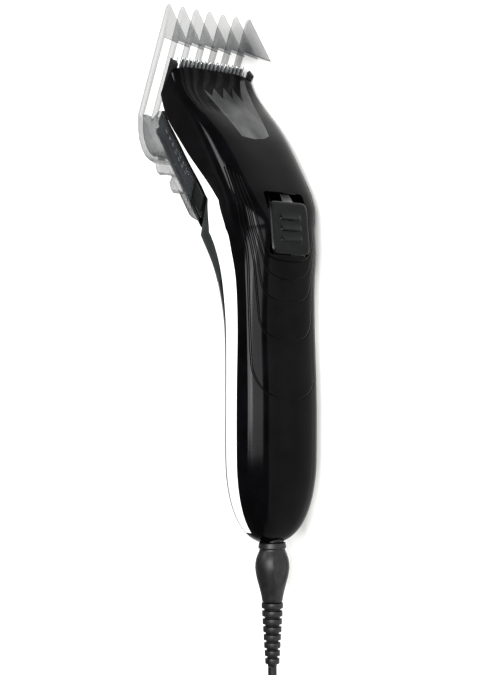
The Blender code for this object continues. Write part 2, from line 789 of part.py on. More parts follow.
def make_electrics(front_shell, back_shell):
    box("circuit_board", (0, -5.2, 66), (24, 1.6, 64), board_green, lay_down)
    cylinder("capacitor", (5.5, 0.4, 50), 4.2, 12, (0, 0, 1), capacitor_blue, lay_down, 18)
    for number, height in ((1, 56), (2, 66)):
        box(f"rectifier_{number}", (-6.5, -2.3, height), (4, 3.4, 7), black_gloss, lay_down, bevel=0.4)
    for side, name in ((-1, "motor_lead_red"), (1, "motor_lead_black")):
        route = [
            (side * 4.0, -3.0, 99.0),
            (side * 4.2, 0.5, 106.0),
            (side * 4.6, 2.8, 120.0),
            (side * 4.6, 4.6, 134.0),
            (side * 4.0, *motor_point(-MOTOR_LENGTH / 2 - 2.4)),
        ]
        lead_material = lead_red if side < 0 else black_gloss
        tube(name, smooth_route(route, 3.0), 0.7, lead_material, lay_down)
    opening = cylinder("inlet_opening", (0, CORD_Y, 4.0), 4.8, 12.0, (0, 0, 1), None, lay_down, 24)
    cut(front_shell, opening)
    cut(back_shell, opening)
    socket = cylinder("inlet_socket", (0, CORD_Y, 5.4), 4.4, 10.6, (0, 0, 1), black_matt, lay_down, 24)
    hollow = cylinder("inlet_hollow", (0, CORD_Y, 3.6), 3.3, 10.0, (0, 0, 1), None, lay_down, 24)
    cut(socket, hollow)
    for number, side in ((1, -1), (2, 1)):
        place = (side * 1.2, CORD_Y, 4.8)
        cylinder(f"inlet_pin_{number}", place, 0.55, 6.8, (0, 0, 1), bright_steel, lay_down, 10)


SCREW_HEIGHTS = (27.0, 104.0)


def make_screws(front_shell, back_shell):
    """Two screws go in from the back, through the back shell, into bosses on the front shell."""
    for i, height in enumerate(SCREW_HEIGHTS):
        out_y = (HANDLE_BACK, 16.2)[i]
        boss = cylinder(f"boss_{i}", (0, -8.4, height), 2.9, 9.0, (0, 1, 0), None, lay_down, 16)
        bore = cylinder(f"boss_bore_{i}", (0, -4.6, height), 1.6, 8.0, (0, 1, 0), None, lay_down, 12)
        join(front_shell, boss)
        cut(front_shell, bore)
        hole = cylinder(f"screw_hole_{i}", (0, out_y, height), 2.6, 9.0, (0, 1, 0), None, lay_down, 16)
        cut(back_shell, hole)
        length = out_y - 1.8 + 6.0
        screw = cylinder(
            f"housing_screw_{i + 1}", (0, out_y - 1.8 - length / 2, height), 1.2, length, (0, 1, 0), zinc,
            lay_down, 12,
        )
        head = cylinder(f"screw_head_{i}", (0, out_y - 1.9, height), 2.2, 1.6, (0, 1, 0), None, lay_down, 16)
        join(screw, head)


# ---- Connector, strain relief, cord and adapter --------------------------------------------------

CONNECTOR_ROWS = [  # height, half width, half depth
    (-0.3, 5.6, 5.2),
    (-2.6, 5.9, 5.4),
    (-3.2, 5.5, 5.0),
    (-4.2, 5.7, 5.3),
    (-7.0, 6.8, 6.3),
    (-10.5, 7.2, 6.7),
    (-15.0, 6.5, 6.0),
    (-20.0, 5.0, 4.8),
    (-24.5, 4.1, 4.1),
]
RIBS = 8
RIB_PITCH = 3.2
RELIEF_TOP = -24.8
CORD_Y = -1.8


def make_connector():
    bm = bmesh.new()
    rings = []
    sides = 28
    for height, half_x, half_y in CONNECTOR_ROWS:
        ring = []
        for k in range(sides):
            angle = 2 * math.pi * k / sides
            ring.append(
                bm.verts.new(
                    Vector((half_x * math.cos(angle), CORD_Y + half_y * math.sin(angle), height)) * MM
                )
            )
        rings.append(ring)
    for upper, lower in zip(rings, rings[1:]):
        for k in range(sides):
            n = (k + 1) % sides
            bm.faces.new((upper[k], upper[n], lower[n], lower[k]))
    bm.faces.new(rings[0])
    bm.faces.new(rings[-1])
    body = finish_bmesh(bm, "connector_body", black_rubber, lay_down, smooth=True)
    nose = cylinder("connector_nose", (0, CORD_Y, 3.0), 3.0, 8.0, (0, 0, 1), None, lay_down, 24)
    join(body, nose)
    for side in (-1, 1):
        start = (side * 1.2, CORD_Y, 5.0)
        socket = cylinder(f"nose_socket_{side}", start, 0.85, 8.0, (0, 0, 1), None, lay_down, 10)
        cut(body, socket)

    profile = [(0.0, 0.0)]
    for i in range(RIBS):
        radius = 4.4 - 1.45 * i / (RIBS - 1)
        top = -i * RIB_PITCH
        profile += [(radius, top), (radius, top - 2.2)]
        profile += [(radius - 1.1, top - 2.3), (radius - 1.1, top - RIB_PITCH)]
    profile.append((0.0, -RIBS * RIB_PITCH))
    turned("strain_relief", profile, (0, CORD_Y, RELIEF_TOP), (0, 0, 1), black_rubber, lay_down, 20)


def cord_point(along_z, y, height):
    """A point of the cord, from its place along the clipper, across it, and its height over the floor."""
    return (FLOOR_X - height, y, along_z)


LEAD_ROUTE = [
    (-50.8, CORD_Y, 22.05),
    (-56.0, CORD_Y, 22.0),
    (-62.0, -1.85, 21.0),
    (-69.0, -2.0, 18.6),
    (-76.0, -2.2, 15.0),
    (-83.0, -2.6, 11.0),
    (-90.0, -3.3, 7.1),
    (-97.0, -4.1, 4.0),
    (-104.0, -5.3, 2.2),
]
TAIL_ROUTE = [
    (-136.0, -6.2, 5.0),
    (-142.0, -6.1, 4.6),
    (-148.0, -5.8, 5.0),
    (-154.0, -5.4, 6.4),
    (-160.0, -5.1, 8.2),
    (-165.4, -5.0, CORD_EXIT_HEIGHT),
]


def make_cord():
    for name, route in (("cord_lead", LEAD_ROUTE), ("cord_tail", TAIL_ROUTE)):
        points = smooth_route([cord_point(*p) for p in route], 2.6 * CORD_RADIUS)
        tube(name, points, CORD_RADIUS, black_rubber, lay_down)
    middle_radius = (COIL_INNER + COIL_OUTER) / 2
    half_width = (COIL_OUTER - COIL_INNER) / 2
    profile = []
    for k in range(13):
        angle = math.pi / 2 - 2 * math.pi * k / 12
        bulge = abs(math.cos(angle)) ** 0.6, abs(math.sin(angle)) ** 0.6
        profile.append(
            (
                middle_radius + math.copysign(half_width * bulge[0], math.cos(angle)),
                math.copysign(COIL_HEIGHT / 2 * bulge[1], math.sin(angle)),
            )
        )
    centre = cord_point(COIL_CENTRE[0], COIL_CENTRE[1], COIL_HEIGHT / 2)
    coil = turned("cord_coil", profile, centre, (-1, 0, 0), black_rubber, lay_down, 40)
    tie_place = cord_point(COIL_CENTRE[0], COIL_CENTRE[1] + middle_radius, COIL_HEIGHT / 2)
    tie_slot = box("tie_slot", tie_place, (COIL_HEIGHT - 2.0, 2 * half_width - 2.0, 6.6), None, lay_down)
    tie_wrap = box(
        "tie_wrap", tie_place, (COIL_HEIGHT + 4, 2 * half_width + 4, 6.6), None, lay_down
    )
    cut(tie_wrap, tie_slot)
    cut(coil, tie_wrap)
    tie = box("cord_tie", tie_place, (COIL_HEIGHT, 2 * half_width, 6.0), black_matt, lay_down, bevel=1.0)
    tie_inside = box(
        "tie_inside", tie_place, (COIL_HEIGHT - 1.4, 2 * half_width - 1.4, 9), None, lay_down
    )
    cut(tie, tie_inside)


def make_adapter():
    middle = ADAPTER_TOP - ADAPTER_LENGTH / 2
    half_height = ADAPTER_HEIGHT / 2
    base_width = 12.0
    cover_width = ADAPTER_WIDTH - base_width - GAP
    pin_face = ADAPTER_MIDDLE_Y + ADAPTER_WIDTH / 2
    base_y = pin_face - base_width / 2
    box(
        "adapter_base",
        cord_point(middle, base_y, half_height),
        (ADAPTER_HEIGHT, base_width, ADAPTER_LENGTH),
        black_matt,
        lay_down,
        bevel=1.2,
    )
    box(
        "adapter_cover",
        cord_point(middle, pin_face - base_width - GAP - cover_width / 2, half_height),
        (ADAPTER_HEIGHT, cover_width, ADAPTER_LENGTH),
        black_matt,
        lay_down,
        bevel=2.4,
    )
    for number, side in ((1, -1), (2, 1)):
        place = cord_point(middle + side * 9.5, pin_face + GAP + 9.5, half_height)
        cylinder(f"adapter_pin_{number}", place, 2.0, 19.0, (0, 1, 0), chrome_pins, lay_down, 16)
    profile = [(0.0, 10.0), (2.6, 10.0), (2.8, 6.0), (3.6, 2.0), (4.2, 0.0), (0.0, 0.0)]
    turned(
        "adapter_strain_relief",
        profile,
        cord_point(ADAPTER_TOP + GAP, ADAPTER_MIDDLE_Y, CORD_EXIT_HEIGHT),
        (0, 0, 1),
        black_rubber,
        lay_down,
        18,
    )


# ---- Assembly ------------------------------------------------------------------------------------

clear_scene()
clipper = make_collection("hair_clipper")
cutters = make_collection("cutters", helper=True)

black_gloss = make_material("abs_gloss_black", (0.005, 0.005, 0.006), 0.12)
black_matt = make_material("abs_matt_black", (0.018, 0.02, 0.019), 0.5)
white_gloss = make_material("abs_gloss_white", (0.88, 0.88, 0.86), 0.2)
dark_grey = make_material("abs_dark_grey", (0.03, 0.033, 0.035), 0.35)
clear_plastic = make_material("polycarbonate_clear", (0.75, 0.77, 0.78), 0.08, alpha=0.45)
bright_steel = make_material("ground_steel", (0.62, 0.62, 0.62), 0.22, 1.0)
spring_steel = make_material("spring_steel", (0.5, 0.5, 0.5), 0.3, 1.0)
zinc = make_material("zinc_plated_steel", (0.55, 0.55, 0.55), 0.35, 1.0)
white_plastic = make_material("acetal_white", (0.8, 0.8, 0.78), 0.35)
board_green = make_material("circuit_board_green", (0.02, 0.12, 0.05), 0.5)
capacitor_blue = make_material("capacitor_sleeve", (0.03, 0.06, 0.25), 0.4)
lead_red = make_material("lead_red", (0.4, 0.01, 0.01), 0.5)
black_rubber = make_material("soft_pvc_black", (0.015, 0.015, 0.016), 0.45)
chrome_pins = make_material("nickel_plated_pins", (0.7, 0.69, 0.66), 0.2, 1.0)

lay_down = bpy.data.objects.new("lay_down", None)
clipper.objects.link(lay_down)

comb_axis = make_empty("comb_axis", (0, *RAIL_START), lay_down)
switch_axis = make_empty("switch_axis", (0, *SWITCH_MIDDLE), lay_down)
unit_axis = make_empty("cutting_unit_axis", (0, *HINGE), lay_down)
cutter_axis = make_empty("cutter_axis", (0, *blade_point(-8.0, -1.5)), lay_down)
motor_axis = make_empty("motor_axis", (0, *MOTOR_CENTRE), lay_down)

front_shell, back_shell = make_casing()
make_switch(front_shell)
make_comb_guide()
make_comb()
make_cutting_unit()
make_drive()
make_electrics(front_shell, back_shell)
make_screws(front_shell, back_shell)
make_connector()
make_cord()
make_adapter()

lay_down.rotation_euler = (0.0, math.pi / 2, 0.0)
lay_down.location = Vector((-MIDDLE_Z, -MIDDLE_Y, FLOOR_X)) * MM
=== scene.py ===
# %% [markdown]
# # Hair clipper, lying on its side
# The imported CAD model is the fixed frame. Its solids have the right places and sizes, and the pieces made
# here give them their finished surface. Sizes are in real units, and are estimates that start from the width of
# a usual cutting unit. The clipper is easiest to describe as if it stood upright: X across it, Y from its front
# to its back, Z up from the handle's lower end, in millimetres.
# `place` turns such a point into the frame, where the clipper lies on its side on the floor.

import json
import math

import bpy
import numpy as np
from mathutils import Matrix, Vector

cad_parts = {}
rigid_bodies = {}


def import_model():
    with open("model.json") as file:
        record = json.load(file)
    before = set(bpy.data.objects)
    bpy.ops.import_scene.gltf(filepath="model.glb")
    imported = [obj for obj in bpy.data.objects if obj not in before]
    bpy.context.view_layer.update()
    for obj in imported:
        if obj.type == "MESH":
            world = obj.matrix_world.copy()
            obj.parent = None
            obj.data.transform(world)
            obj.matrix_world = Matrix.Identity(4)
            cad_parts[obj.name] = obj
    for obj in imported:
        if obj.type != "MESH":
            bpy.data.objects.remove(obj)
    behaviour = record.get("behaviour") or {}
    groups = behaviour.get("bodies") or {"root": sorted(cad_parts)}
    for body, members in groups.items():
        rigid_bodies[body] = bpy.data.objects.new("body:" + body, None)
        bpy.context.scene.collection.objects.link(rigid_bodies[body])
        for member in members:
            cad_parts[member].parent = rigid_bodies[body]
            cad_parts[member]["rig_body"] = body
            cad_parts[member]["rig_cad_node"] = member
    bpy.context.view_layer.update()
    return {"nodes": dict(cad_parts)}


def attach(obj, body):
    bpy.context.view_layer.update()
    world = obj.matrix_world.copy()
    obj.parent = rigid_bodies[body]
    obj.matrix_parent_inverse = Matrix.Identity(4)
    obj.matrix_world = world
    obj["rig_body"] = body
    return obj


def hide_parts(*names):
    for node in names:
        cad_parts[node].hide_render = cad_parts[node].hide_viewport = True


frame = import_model()
nodes = frame["nodes"]
MM = 0.001
MIDDLE_Z, MIDDLE_Y, FLOOR_X = 114.05, 26.02, 22.05
LAY_DOWN = Matrix(((0, 0, 1, -MIDDLE_Z), (0, 1, 0, -MIDDLE_Y), (-1, 0, 0, FLOOR_X), (0, 0, 0, 1)))


def place(x, y, z):
    """A point of the upright clipper, in millimetres, as a point of the frame in metres."""
    return LAY_DOWN @ Vector((x, y, z)) * MM


# %% [markdown]
# ## Camera
# A long lens from a little under 0.6 m, level with the handle and 36 degrees round from the front. The camera
# is rolled a quarter turn with the clipper, so that the head is up in the view.

# %% Camera
camera_data = bpy.data.cameras.new("camera")
camera_data.lens = 74.24
camera_data.sensor_width = 36.0
camera_data.clip_start, camera_data.clip_end = 0.02, 20.0
camera = bpy.data.objects.new("camera", camera_data)
bpy.context.scene.collection.objects.link(camera)
bpy.context.scene.camera = camera
eye, aim = place(-342.5, -457.7, 62.3), place(-6.48, 4.71, 83.2)
head_up = LAY_DOWN.to_3x3() @ Vector((-0.0215, -0.0296, 0.9993))
back = (eye - aim).normalized()
right = head_up.cross(back).normalized()
turn = Matrix((right, back.cross(right), back)).transposed()
camera.matrix_world = Matrix.Translation(eye) @ turn.to_4x4()
print("camera at", [round(v, 3) for v in eye])

# %% [markdown]
# ## Colours and nodes
# Paint and plastic colours are noted as sRGB hex values. Blender's shaders work with linear light, so one
# function converts them. Another adds a node with its settings and links in one line.


# %% Colour and node helpers
def colour(hex_value):
    """An sRGB hex colour as linear RGBA."""
    channels = [int(hex_value[i : i + 2], 16) / 255 for i in (1, 3, 5)]
    linear = [c / 12.92 if c <= 0.04045 else ((c + 0.055) / 1.055) ** 2.4 for c in channels]
    return (*linear, 1.0)


def add_node(tree, kind, settings=None, **inputs):
    """A node of that kind. Settings are its own, inputs are values or the sockets that feed it."""
    node = tree.nodes.new("ShaderNode" + kind)
    for name, value in (settings or {}).items():
        setattr(node, name, value)
    for name, value in inputs.items():
        key = int(name[1:]) if name[0] == "_" else name.replace("_", " ")
        if isinstance(value, bpy.types.NodeSocket):
            tree.links.new(value, node.inputs[key])
        else:
            node.inputs[key].default_value = value
    return node


def new_material(name, **values):
    """A material with one Principled shader, and that shader with its constants set."""
    material = bpy.data.materials.new(name)
    material.use_nodes = True
    shader = material.node_tree.nodes["Principled BSDF"]
    for key, value in values.items():
        shader.inputs[key.replace("_", " ")].default_value = value
    return material, material.node_tree, shader


def dress(obj, *materials):
    """Gives a piece its materials, in slot order."""
    obj.data.materials.clear()
    for material in materials:
        obj.data.materials.append(material)
    return obj


# %% [markdown]
# ## Cord
# The adapter lead is taken as 2 m of soft PVC cord, 3.7 mm thick. A few millimetres of it show under the
# strain relief. From there it sinks to the table, and the rest is put away in a round coil held by a tie,
# with the plug-in adapter at its end. It is drawn as one curve and then made a mesh tube.
# The route's points are those that the CAD model was made with, and the coil fills the CAD's ring.

# %% Cord route
CORD_RADIUS = 1.85
LEAD_ROUTE = [
    (-50.8, -1.8, 22.05), (-56.0, -1.8, 22.0), (-62.0, -1.85, 21.0), (-69.0, -2.0, 18.6), (-76.0, -2.2, 15.0),
    (-83.0, -2.6, 11.0), (-90.0, -3.3, 7.1), (-97.0, -4.1, 4.0), (-104.0, -5.3, 2.2),
]
TAIL_ROUTE = [
    (-136.0, -6.2, 5.0), (-142.0, -6.1, 4.6), (-148.0, -5.8, 5.0), (-154.0, -5.4, 6.4), (-160.0, -5.1, 8.2),
    (-165.4, -5.0, 9.0),
]
COIL_CENTRE_Z, COIL_CENTRE_Y = -118.0, 24.0
RADIUS_IN, RADIUS_OUT = 15.4, 28.6
LAYERS = (1.9, 5.6, 9.2, 12.7)


def cord_place(along, across, height):
    return place(FLOOR_X - height, across, along)


def smooth_route(points, spacing):
    """Points about one spacing apart on a smooth curve through the given ones."""
    points = [Vector(p) for p in points]
    route = []
    for i, (start, end) in enumerate(zip(points, points[1:])):
        before = points[i - 1] if i else start * 2 - end
        after = points[i + 2] if i + 2 < len(points) else end * 2 - start
        steps = max(1, round((end - start).length / spacing))
        for step in range(steps):
            t = step / steps
            route.append(0.5 * (2 * start + (end - before) * t
                + (2 * before - 5 * start + 4 * end - after) * t**2
                + (3 * start - before - 3 * end + after) * t**3))
    return route + [points[-1]]


def coil_point(turns, radius, height):
    """A point of the coil. Near the tie, opposite the place where the cord comes in, the turns are squeezed."""
    angle = -math.pi / 2 - 2 * math.pi * turns
    squeeze = 1 - 0.16 * math.exp(-(((turns + 0.5) % 1 - (0.0 if (turns + 0.5) % 1 < 0.5 else 1.0)) / 0.04) ** 2)
    radius = 22.0 + (radius - 22.0) * squeeze
    height = 7.3 + (height - 7.3) * squeeze
    return cord_place(COIL_CENTRE_Z + radius * math.cos(angle), COIL_CENTRE_Y + radius * math.sin(angle), height)


# %% Cord curve
lead = [cord_place(*p) for p in smooth_route(LEAD_ROUTE, 4.0)][:-1]
TURNS_PER_LAYER = 3.5
wound, turns, steps = [], 0.0, 24
for layer, height in enumerate(LAYERS):
    count = round(TURNS_PER_LAYER * steps)
    for k in range(count):
        share = k / count
        outward = layer % 2 == 1
        radius = RADIUS_IN + (RADIUS_OUT - RADIUS_IN) * (share if outward else 1 - share)
        rise = max(0.0, (share - 0.93) / 0.07) if layer + 1 < len(LAYERS) else 0.0
        next_height = LAYERS[min(layer + 1, len(LAYERS) - 1)]
        wound.append(coil_point(turns + k / steps, radius, height + (next_height - height) * rise))
    turns += count / steps
tail = [cord_place(*p) for p in smooth_route(TAIL_ROUTE, 4.0)]
route = lead + wound + tail
length = sum((b - a).length for a, b in zip(route, route[1:]))
print(f"cord route: {len(route)} points, {length:.3f} m, coil of {turns:.1f} turns")
curve = bpy.data.curves.new("cord", "CURVE")
curve.dimensions = "3D"
curve.bevel_depth = CORD_RADIUS * MM
curve.bevel_resolution = 3
curve.use_fill_caps = True
spline = curve.splines.new("POLY")
spline.points.add(len(route) - 1)
for point, at in zip(spline.points, route):
    point.co = (*at, 1.0)
cord = bpy.data.objects.new("cord", curve)
bpy.context.scene.collection.objects.link(cord)
for obj in bpy.context.view_layer.objects:
    obj.select_set(False)
cord.select_set(True)
bpy.context.view_layer.objects.active = cord
bpy.ops.object.convert(target="MESH")
cord = bpy.context.active_object
bpy.ops.object.shade_smooth_by_angle(angle=math.radians(50))
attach(cord, "casing")
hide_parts("cord_lead", "cord_coil", "cord_tail")

# %% [markdown]
# ## The casing's sections
# The casing is one smooth skin in four parts: a front shell, a back shell and a white strip on each side.
# Each listed station is a closed section, given by its front and back points, its half width, how square its
# halves are, and where the strip's edges lie. The CAD solids follow the same stations. Between stations every
# value runs on a smooth curve, so the skin can be drawn as finely as the gloss needs.

# %% Stations
GAP, WALL, HALF_WIDTH = 0.3, 1.8, 20.0
HANDLE_FRONT, HANDLE_BACK = -14.4, 12.8
CAP_HEIGHT, CAP_POWER = 38.0, 2.3


def cap_station(height):
    shrink = (1 - (1 - (height + 1) / CAP_HEIGHT) ** CAP_POWER) ** (1 / CAP_POWER)
    middle = (HANDLE_FRONT + HANDLE_BACK) / 2
    half = (HANDLE_BACK - HANDLE_FRONT) / 2 * shrink
    return (middle - half, height, middle + half, height, HALF_WIDTH * shrink, 2.3, 2.3, 0.25, -0.3)


STATIONS = np.array([cap_station(height) for height in (0.0, 1.5, 4.0, 8.0, 13.0, 19.0, 27.0)] + [
    (HANDLE_FRONT, 37.0, HANDLE_BACK, 37.0, HALF_WIDTH, 2.3, 2.3, 0.25, -0.30),
    (HANDLE_FRONT, 60.0, HANDLE_BACK, 60.0, HALF_WIDTH, 2.3, 2.3, 0.25, -0.30),
    (-13.3, 88.0, 13.7, 87.0, 19.6, 2.4, 2.4, 0.31, -0.27),
    (-13.7, 107.0, 16.4, 103.0, 19.8, 2.4, 3.0, 0.30, -0.28),
    (-14.7, 119.0, 19.6, 114.0, 20.2, 2.5, 4.0, 0.21, -0.34),
    (-14.5, 128.0, 25.4, 126.0, 20.6, 2.6, 6.0, 0.15, -0.43),
    (-12.2, 136.0, 18.4, 141.0, 20.9, 2.9, 9.0, -0.25, -0.77),
    (-8.2, 143.8, 20.5, 145.6, 21.1, 3.1, 12.0, -0.43, -0.93),
    (6.8, 165.0, 29.4, 156.9, 21.5, 3.5, 14.0, -0.68, -0.96),
    (18.0, 176.5, 37.2, 167.2, 21.7, 4.4, 14.0, -0.80, -0.965),
    (30.3, 187.4, 44.6, 176.9, 21.9, 4.8, 14.0, -0.90, -0.965),
    (36.0, 194.0, 48.6, 182.6, 21.9, 4.6, 10.0, -0.94, -0.97),
    (39.6, 200.9, 51.4, 188.2, 21.8, 4.2, 8.0, -0.90, -0.93),
])
NECK_EDGE, NECK_STEP = 12, 13
TRIM_FIRST, TRIM_LAST = 2, 17.5


def station_at(row):
    """A station between two listed ones, on smooth curves, with a sharp step at the back of the neck."""
    table = STATIONS
    middles = (table[:, 0:2] + table[:, 2:4]) / 2
    knots = np.concatenate([[0], np.cumsum(np.linalg.norm(np.diff(middles, axis=0), axis=1))])
    low = min(int(row), len(table) - 2)
    f = row - low
    span = knots[low + 1] - knots[low]
    chord = table[low + 1] - table[low]
    slopes = []
    for k in (low, low + 1):
        if k in (0, len(table) - 1):
            slopes.append(chord)
            continue
        slope = (table[k + 1] - table[k - 1]) / (knots[k + 1] - knots[k - 1]) * span
        if k in (NECK_EDGE, NECK_STEP):
            slope[2:4] = chord[2:4]
        slopes.append(slope)
    return ((2 * f**3 - 3 * f**2 + 1) * table[low] + (f**3 - 2 * f**2 + f) * slopes[0]
        + (-2 * f**3 + 3 * f**2) * table[low + 1] + (f**3 - f**2) * slopes[1])


def angle_of(share, station):
    power = station[5] if share > 0 else station[6]
    return math.acos(math.copysign(abs(share) ** (power / 2), share))


def section_point(station, angle):
    front_y, front_z, back_y, back_z, half_width, front_power, back_power = station[:7]
    power = front_power if math.cos(angle) > 0 else back_power
    forward = math.copysign(abs(math.cos(angle)) ** (2 / power), math.cos(angle))
    side = math.copysign(abs(math.sin(angle)) ** (2 / power), math.sin(angle))
    return Vector((half_width * side, (front_y + back_y) / 2 + (front_y - back_y) / 2 * forward,
        (front_z + back_z) / 2 + (front_z - back_z) / 2 * forward))


def seam_angles(station, row, gap=GAP):
    """The angles of the strip's two edges, then of the two shells' edges that face it."""
    front, back = station[7], station[8]
    if not TRIM_FIRST <= row <= TRIM_LAST:
        front = back = (front + back) / 2
    margin = gap / 2 / (math.hypot(station[0] - station[2], station[1] - station[3]) / 2)
    strip = (angle_of(front - margin, station), angle_of(max(back + margin, -0.999), station))
    shells = (angle_of(front + margin, station), angle_of(max(back - margin, -0.999), station))
    return strip, shells


def rows_between(first, last, step):
    """Places along the casing about one step apart, in millimetres, never finer at one station than at another."""
    rows = []
    for low in range(len(STATIONS) - 1):
        a, b = STATIONS[low], STATIONS[low + 1]
        long = max(math.hypot(b[0] - a[0], b[1] - a[1]), math.hypot(b[2] - a[2], b[3] - a[3]))
        count = max(2, math.ceil(long / step))
        rows += [low + k / count for k in range(count)]
    rows.append(len(STATIONS) - 1)
    inside = [row for row in rows if first < row < last]
    return [first] + inside + [last]


print("stations:", len(STATIONS), "rows at 1.2 mm:", len(rows_between(0, 19, 1.2)))

# %% [markdown]
# ## Skin patches
# A flat grid with the right number of rows and columns is the easiest start for a curved wall: every point
# keeps its row and column, and is moved to its place on the skin. Solidify then gives it the wall's
# thickness on the inside, and a narrow bevel at the rim catches the light as a moulded edge does.


# %% Patch helpers
def select_none():
    for obj in bpy.context.view_layer.objects:
        obj.select_set(False)


def make_active(obj):
    select_none()
    obj.select_set(True)
    bpy.context.view_layer.objects.active = obj


def apply_modifier(obj, kind, **settings):
    """Adds a modifier with its settings and applies it."""
    make_active(obj)
    modifier = obj.modifiers.new(kind.lower(), kind)
    for name, value in settings.items():
        setattr(modifier, name, value)
    bpy.ops.object.modifier_apply(modifier=modifier.name)
    return obj


def smooth(obj, degrees=35):
    make_active(obj)
    bpy.ops.object.shade_smooth_by_angle(angle=math.radians(degrees))
    return obj


def skin_patch(name, rows, places):
    """A grid laid on the skin. places(row) gives that row's points, each a vector of the upright clipper."""
    grid = [places(row) for row in rows]
    columns = len(grid[0])
    select_none()
    bpy.ops.mesh.primitive_grid_add(x_subdivisions=columns - 1, y_subdivisions=len(rows) - 1, size=1)
    obj = bpy.context.active_object
    obj.name = obj.data.name = name
    for vert in obj.data.vertices:
        r, c = divmod(vert.index, columns)
        vert.co = place(*grid[r][c])
    return obj


def finish_wall(obj, thickness, rim, outward):
    """Turns the patch's faces outwards and gives it a wall inside, with a bevelled rim."""
    make_active(obj)
    bpy.ops.object.mode_set(mode="EDIT")
    bpy.ops.mesh.select_all(action="SELECT")
    bpy.ops.mesh.remove_doubles(threshold=0.00001)
    bpy.ops.object.mode_set(mode="OBJECT")
    obj.data.update()
    outward = LAY_DOWN.to_3x3() @ Vector(outward)
    if sum(f.normal.dot(outward) * f.area for f in obj.data.polygons) < 0:
        obj.data.flip_normals()
    apply_modifier(obj, "SOLIDIFY", thickness=thickness * MM, offset=-1.0, use_even_offset=False)
    apply_modifier(obj, "BEVEL", width=rim * MM, segments=2, limit_method="ANGLE",
        angle_limit=math.radians(55), use_clamp_overlap=True)
    return smooth(obj)

# %% [markdown]
# ## Front shell
# The front shell is a gloss black moulding. A soft crease runs down each side of it, from the head to the
# handle's end, and turns the face towards the light. The crease is a row of points of its own, so it stays
# sharp, and the skin is raised by less than half a millimetre along it. Fine styling grooves run beside the
# crease and turn under the switch. They are narrower than any sensible mesh, so each point of the skin
# stores its distance to each groove, and the material draws them at their true width.

# %% Crease and groove lines
CREASE = [(0.0, 58), (4.8, 58), (7.0, 57), (8.6, 57), (9.5, 58), (10.6, 61), (11.8, 68), (12.6, 78),
    (13.3, 84), (14.1, 84.5), (15.0, 82), (16.2, 77), (17.8, 64), (18.4, 62), (19.0, 62)]
CREASE_RISE, CREASE_FRONT, CREASE_SIDE = 0.42, 4.5, 2.6
GROOVES = [
    [(-16.6, 148.5), (-16.2, 140.0), (-13.9, 127.0), (-11.9, 119.0),
        (-10.6, 116.2), (-8.6, 114.7), (-4.5, 113.8), (0, 113.6)],
    [(-17.4, 149.5), (-17.3, 140.0), (-15.1, 125.6), (-12.2, 114.5),
        (-10.9, 110.5), (-8.5, 107.9), (-4.5, 106.5), (0, 106.2)],
    [(-18.3, 150.5), (-18.3, 140.0), (-16.2, 125.6), (-13.4, 110.0),
        (-11.9, 102.5), (-9.3, 99.0), (-5.0, 97.3), (0, 97.0)],
    [(-19.2, 151.5), (-19.2, 140.0), (-17.3, 125.6), (-14.9, 110.0), (-13.7, 97.0),
        (-12.8, 88.5), (-10.0, 84.0), (-5.5, 82.0), (0, 81.5)],
    [(-20.0, 152.5), (-20.0, 140.0), (-18.4, 125.6), (-17.0, 110.0), (-16.5, 90.0),
        (-16.3, 76.0), (-15.6, 68.3), (-12.2, 62.0), (-7.0, 58.7), (0, 57.7)],
]


def crease_angle(row):
    rows, angles = zip(*CREASE)
    return math.radians(float(np.interp(row, rows, angles)))


def front_angles(row, station, columns_side=9, columns_front=46):
    """Angles from one seam to the other, with a point of its own on each crease."""
    seam = seam_angles(station, row)[1][0]
    crease = min(crease_angle(row), seam - 0.12)
    half = [crease * k / columns_front for k in range(columns_front + 1)]
    half += [crease + (seam - crease) * k / columns_side for k in range(1, columns_side + 1)]
    return [-a for a in reversed(half[1:])] + half, crease


def front_row(row):
    station = station_at(row)
    angles, crease = front_angles(row, station)
    points = [section_point(station, a) for a in angles]
    ridge = section_point(station, crease)
    fade = min(1.0, row / 2.5) * min(1.0, max(0.0, (18.6 - row) / 1.5))
    raised = []
    for angle, point in zip(angles, points):
        off = (point - Vector((math.copysign(ridge.x, angle), ridge.y, ridge.z))).length
        width = CREASE_FRONT if abs(angle) < crease else CREASE_SIDE
        rise = CREASE_RISE * fade * max(0.0, 1 - off / width)
        middle = Vector((0.0, (station[0] + station[2]) / 2, (station[1] + station[3]) / 2))
        raised.append(point + (point - middle).normalized() * rise)
    return raised


# %% Front shell
SWITCH_MIDDLE, SWITCH_UP = (-14.0, 129.2), (0.113, 0.9936)
SWITCH_HALF_WIDTH, SWITCH_LENGTH, SWITCH_TRAVEL = 9.6, 21.6, 4.2
front_shell = skin_patch("casing_front", rows_between(0, 19, 1.1), front_row)
finish_wall(front_shell, WALL, 0.22, outward=(0, -1, 0))
print("front shell:", len(front_shell.data.polygons), "faces")


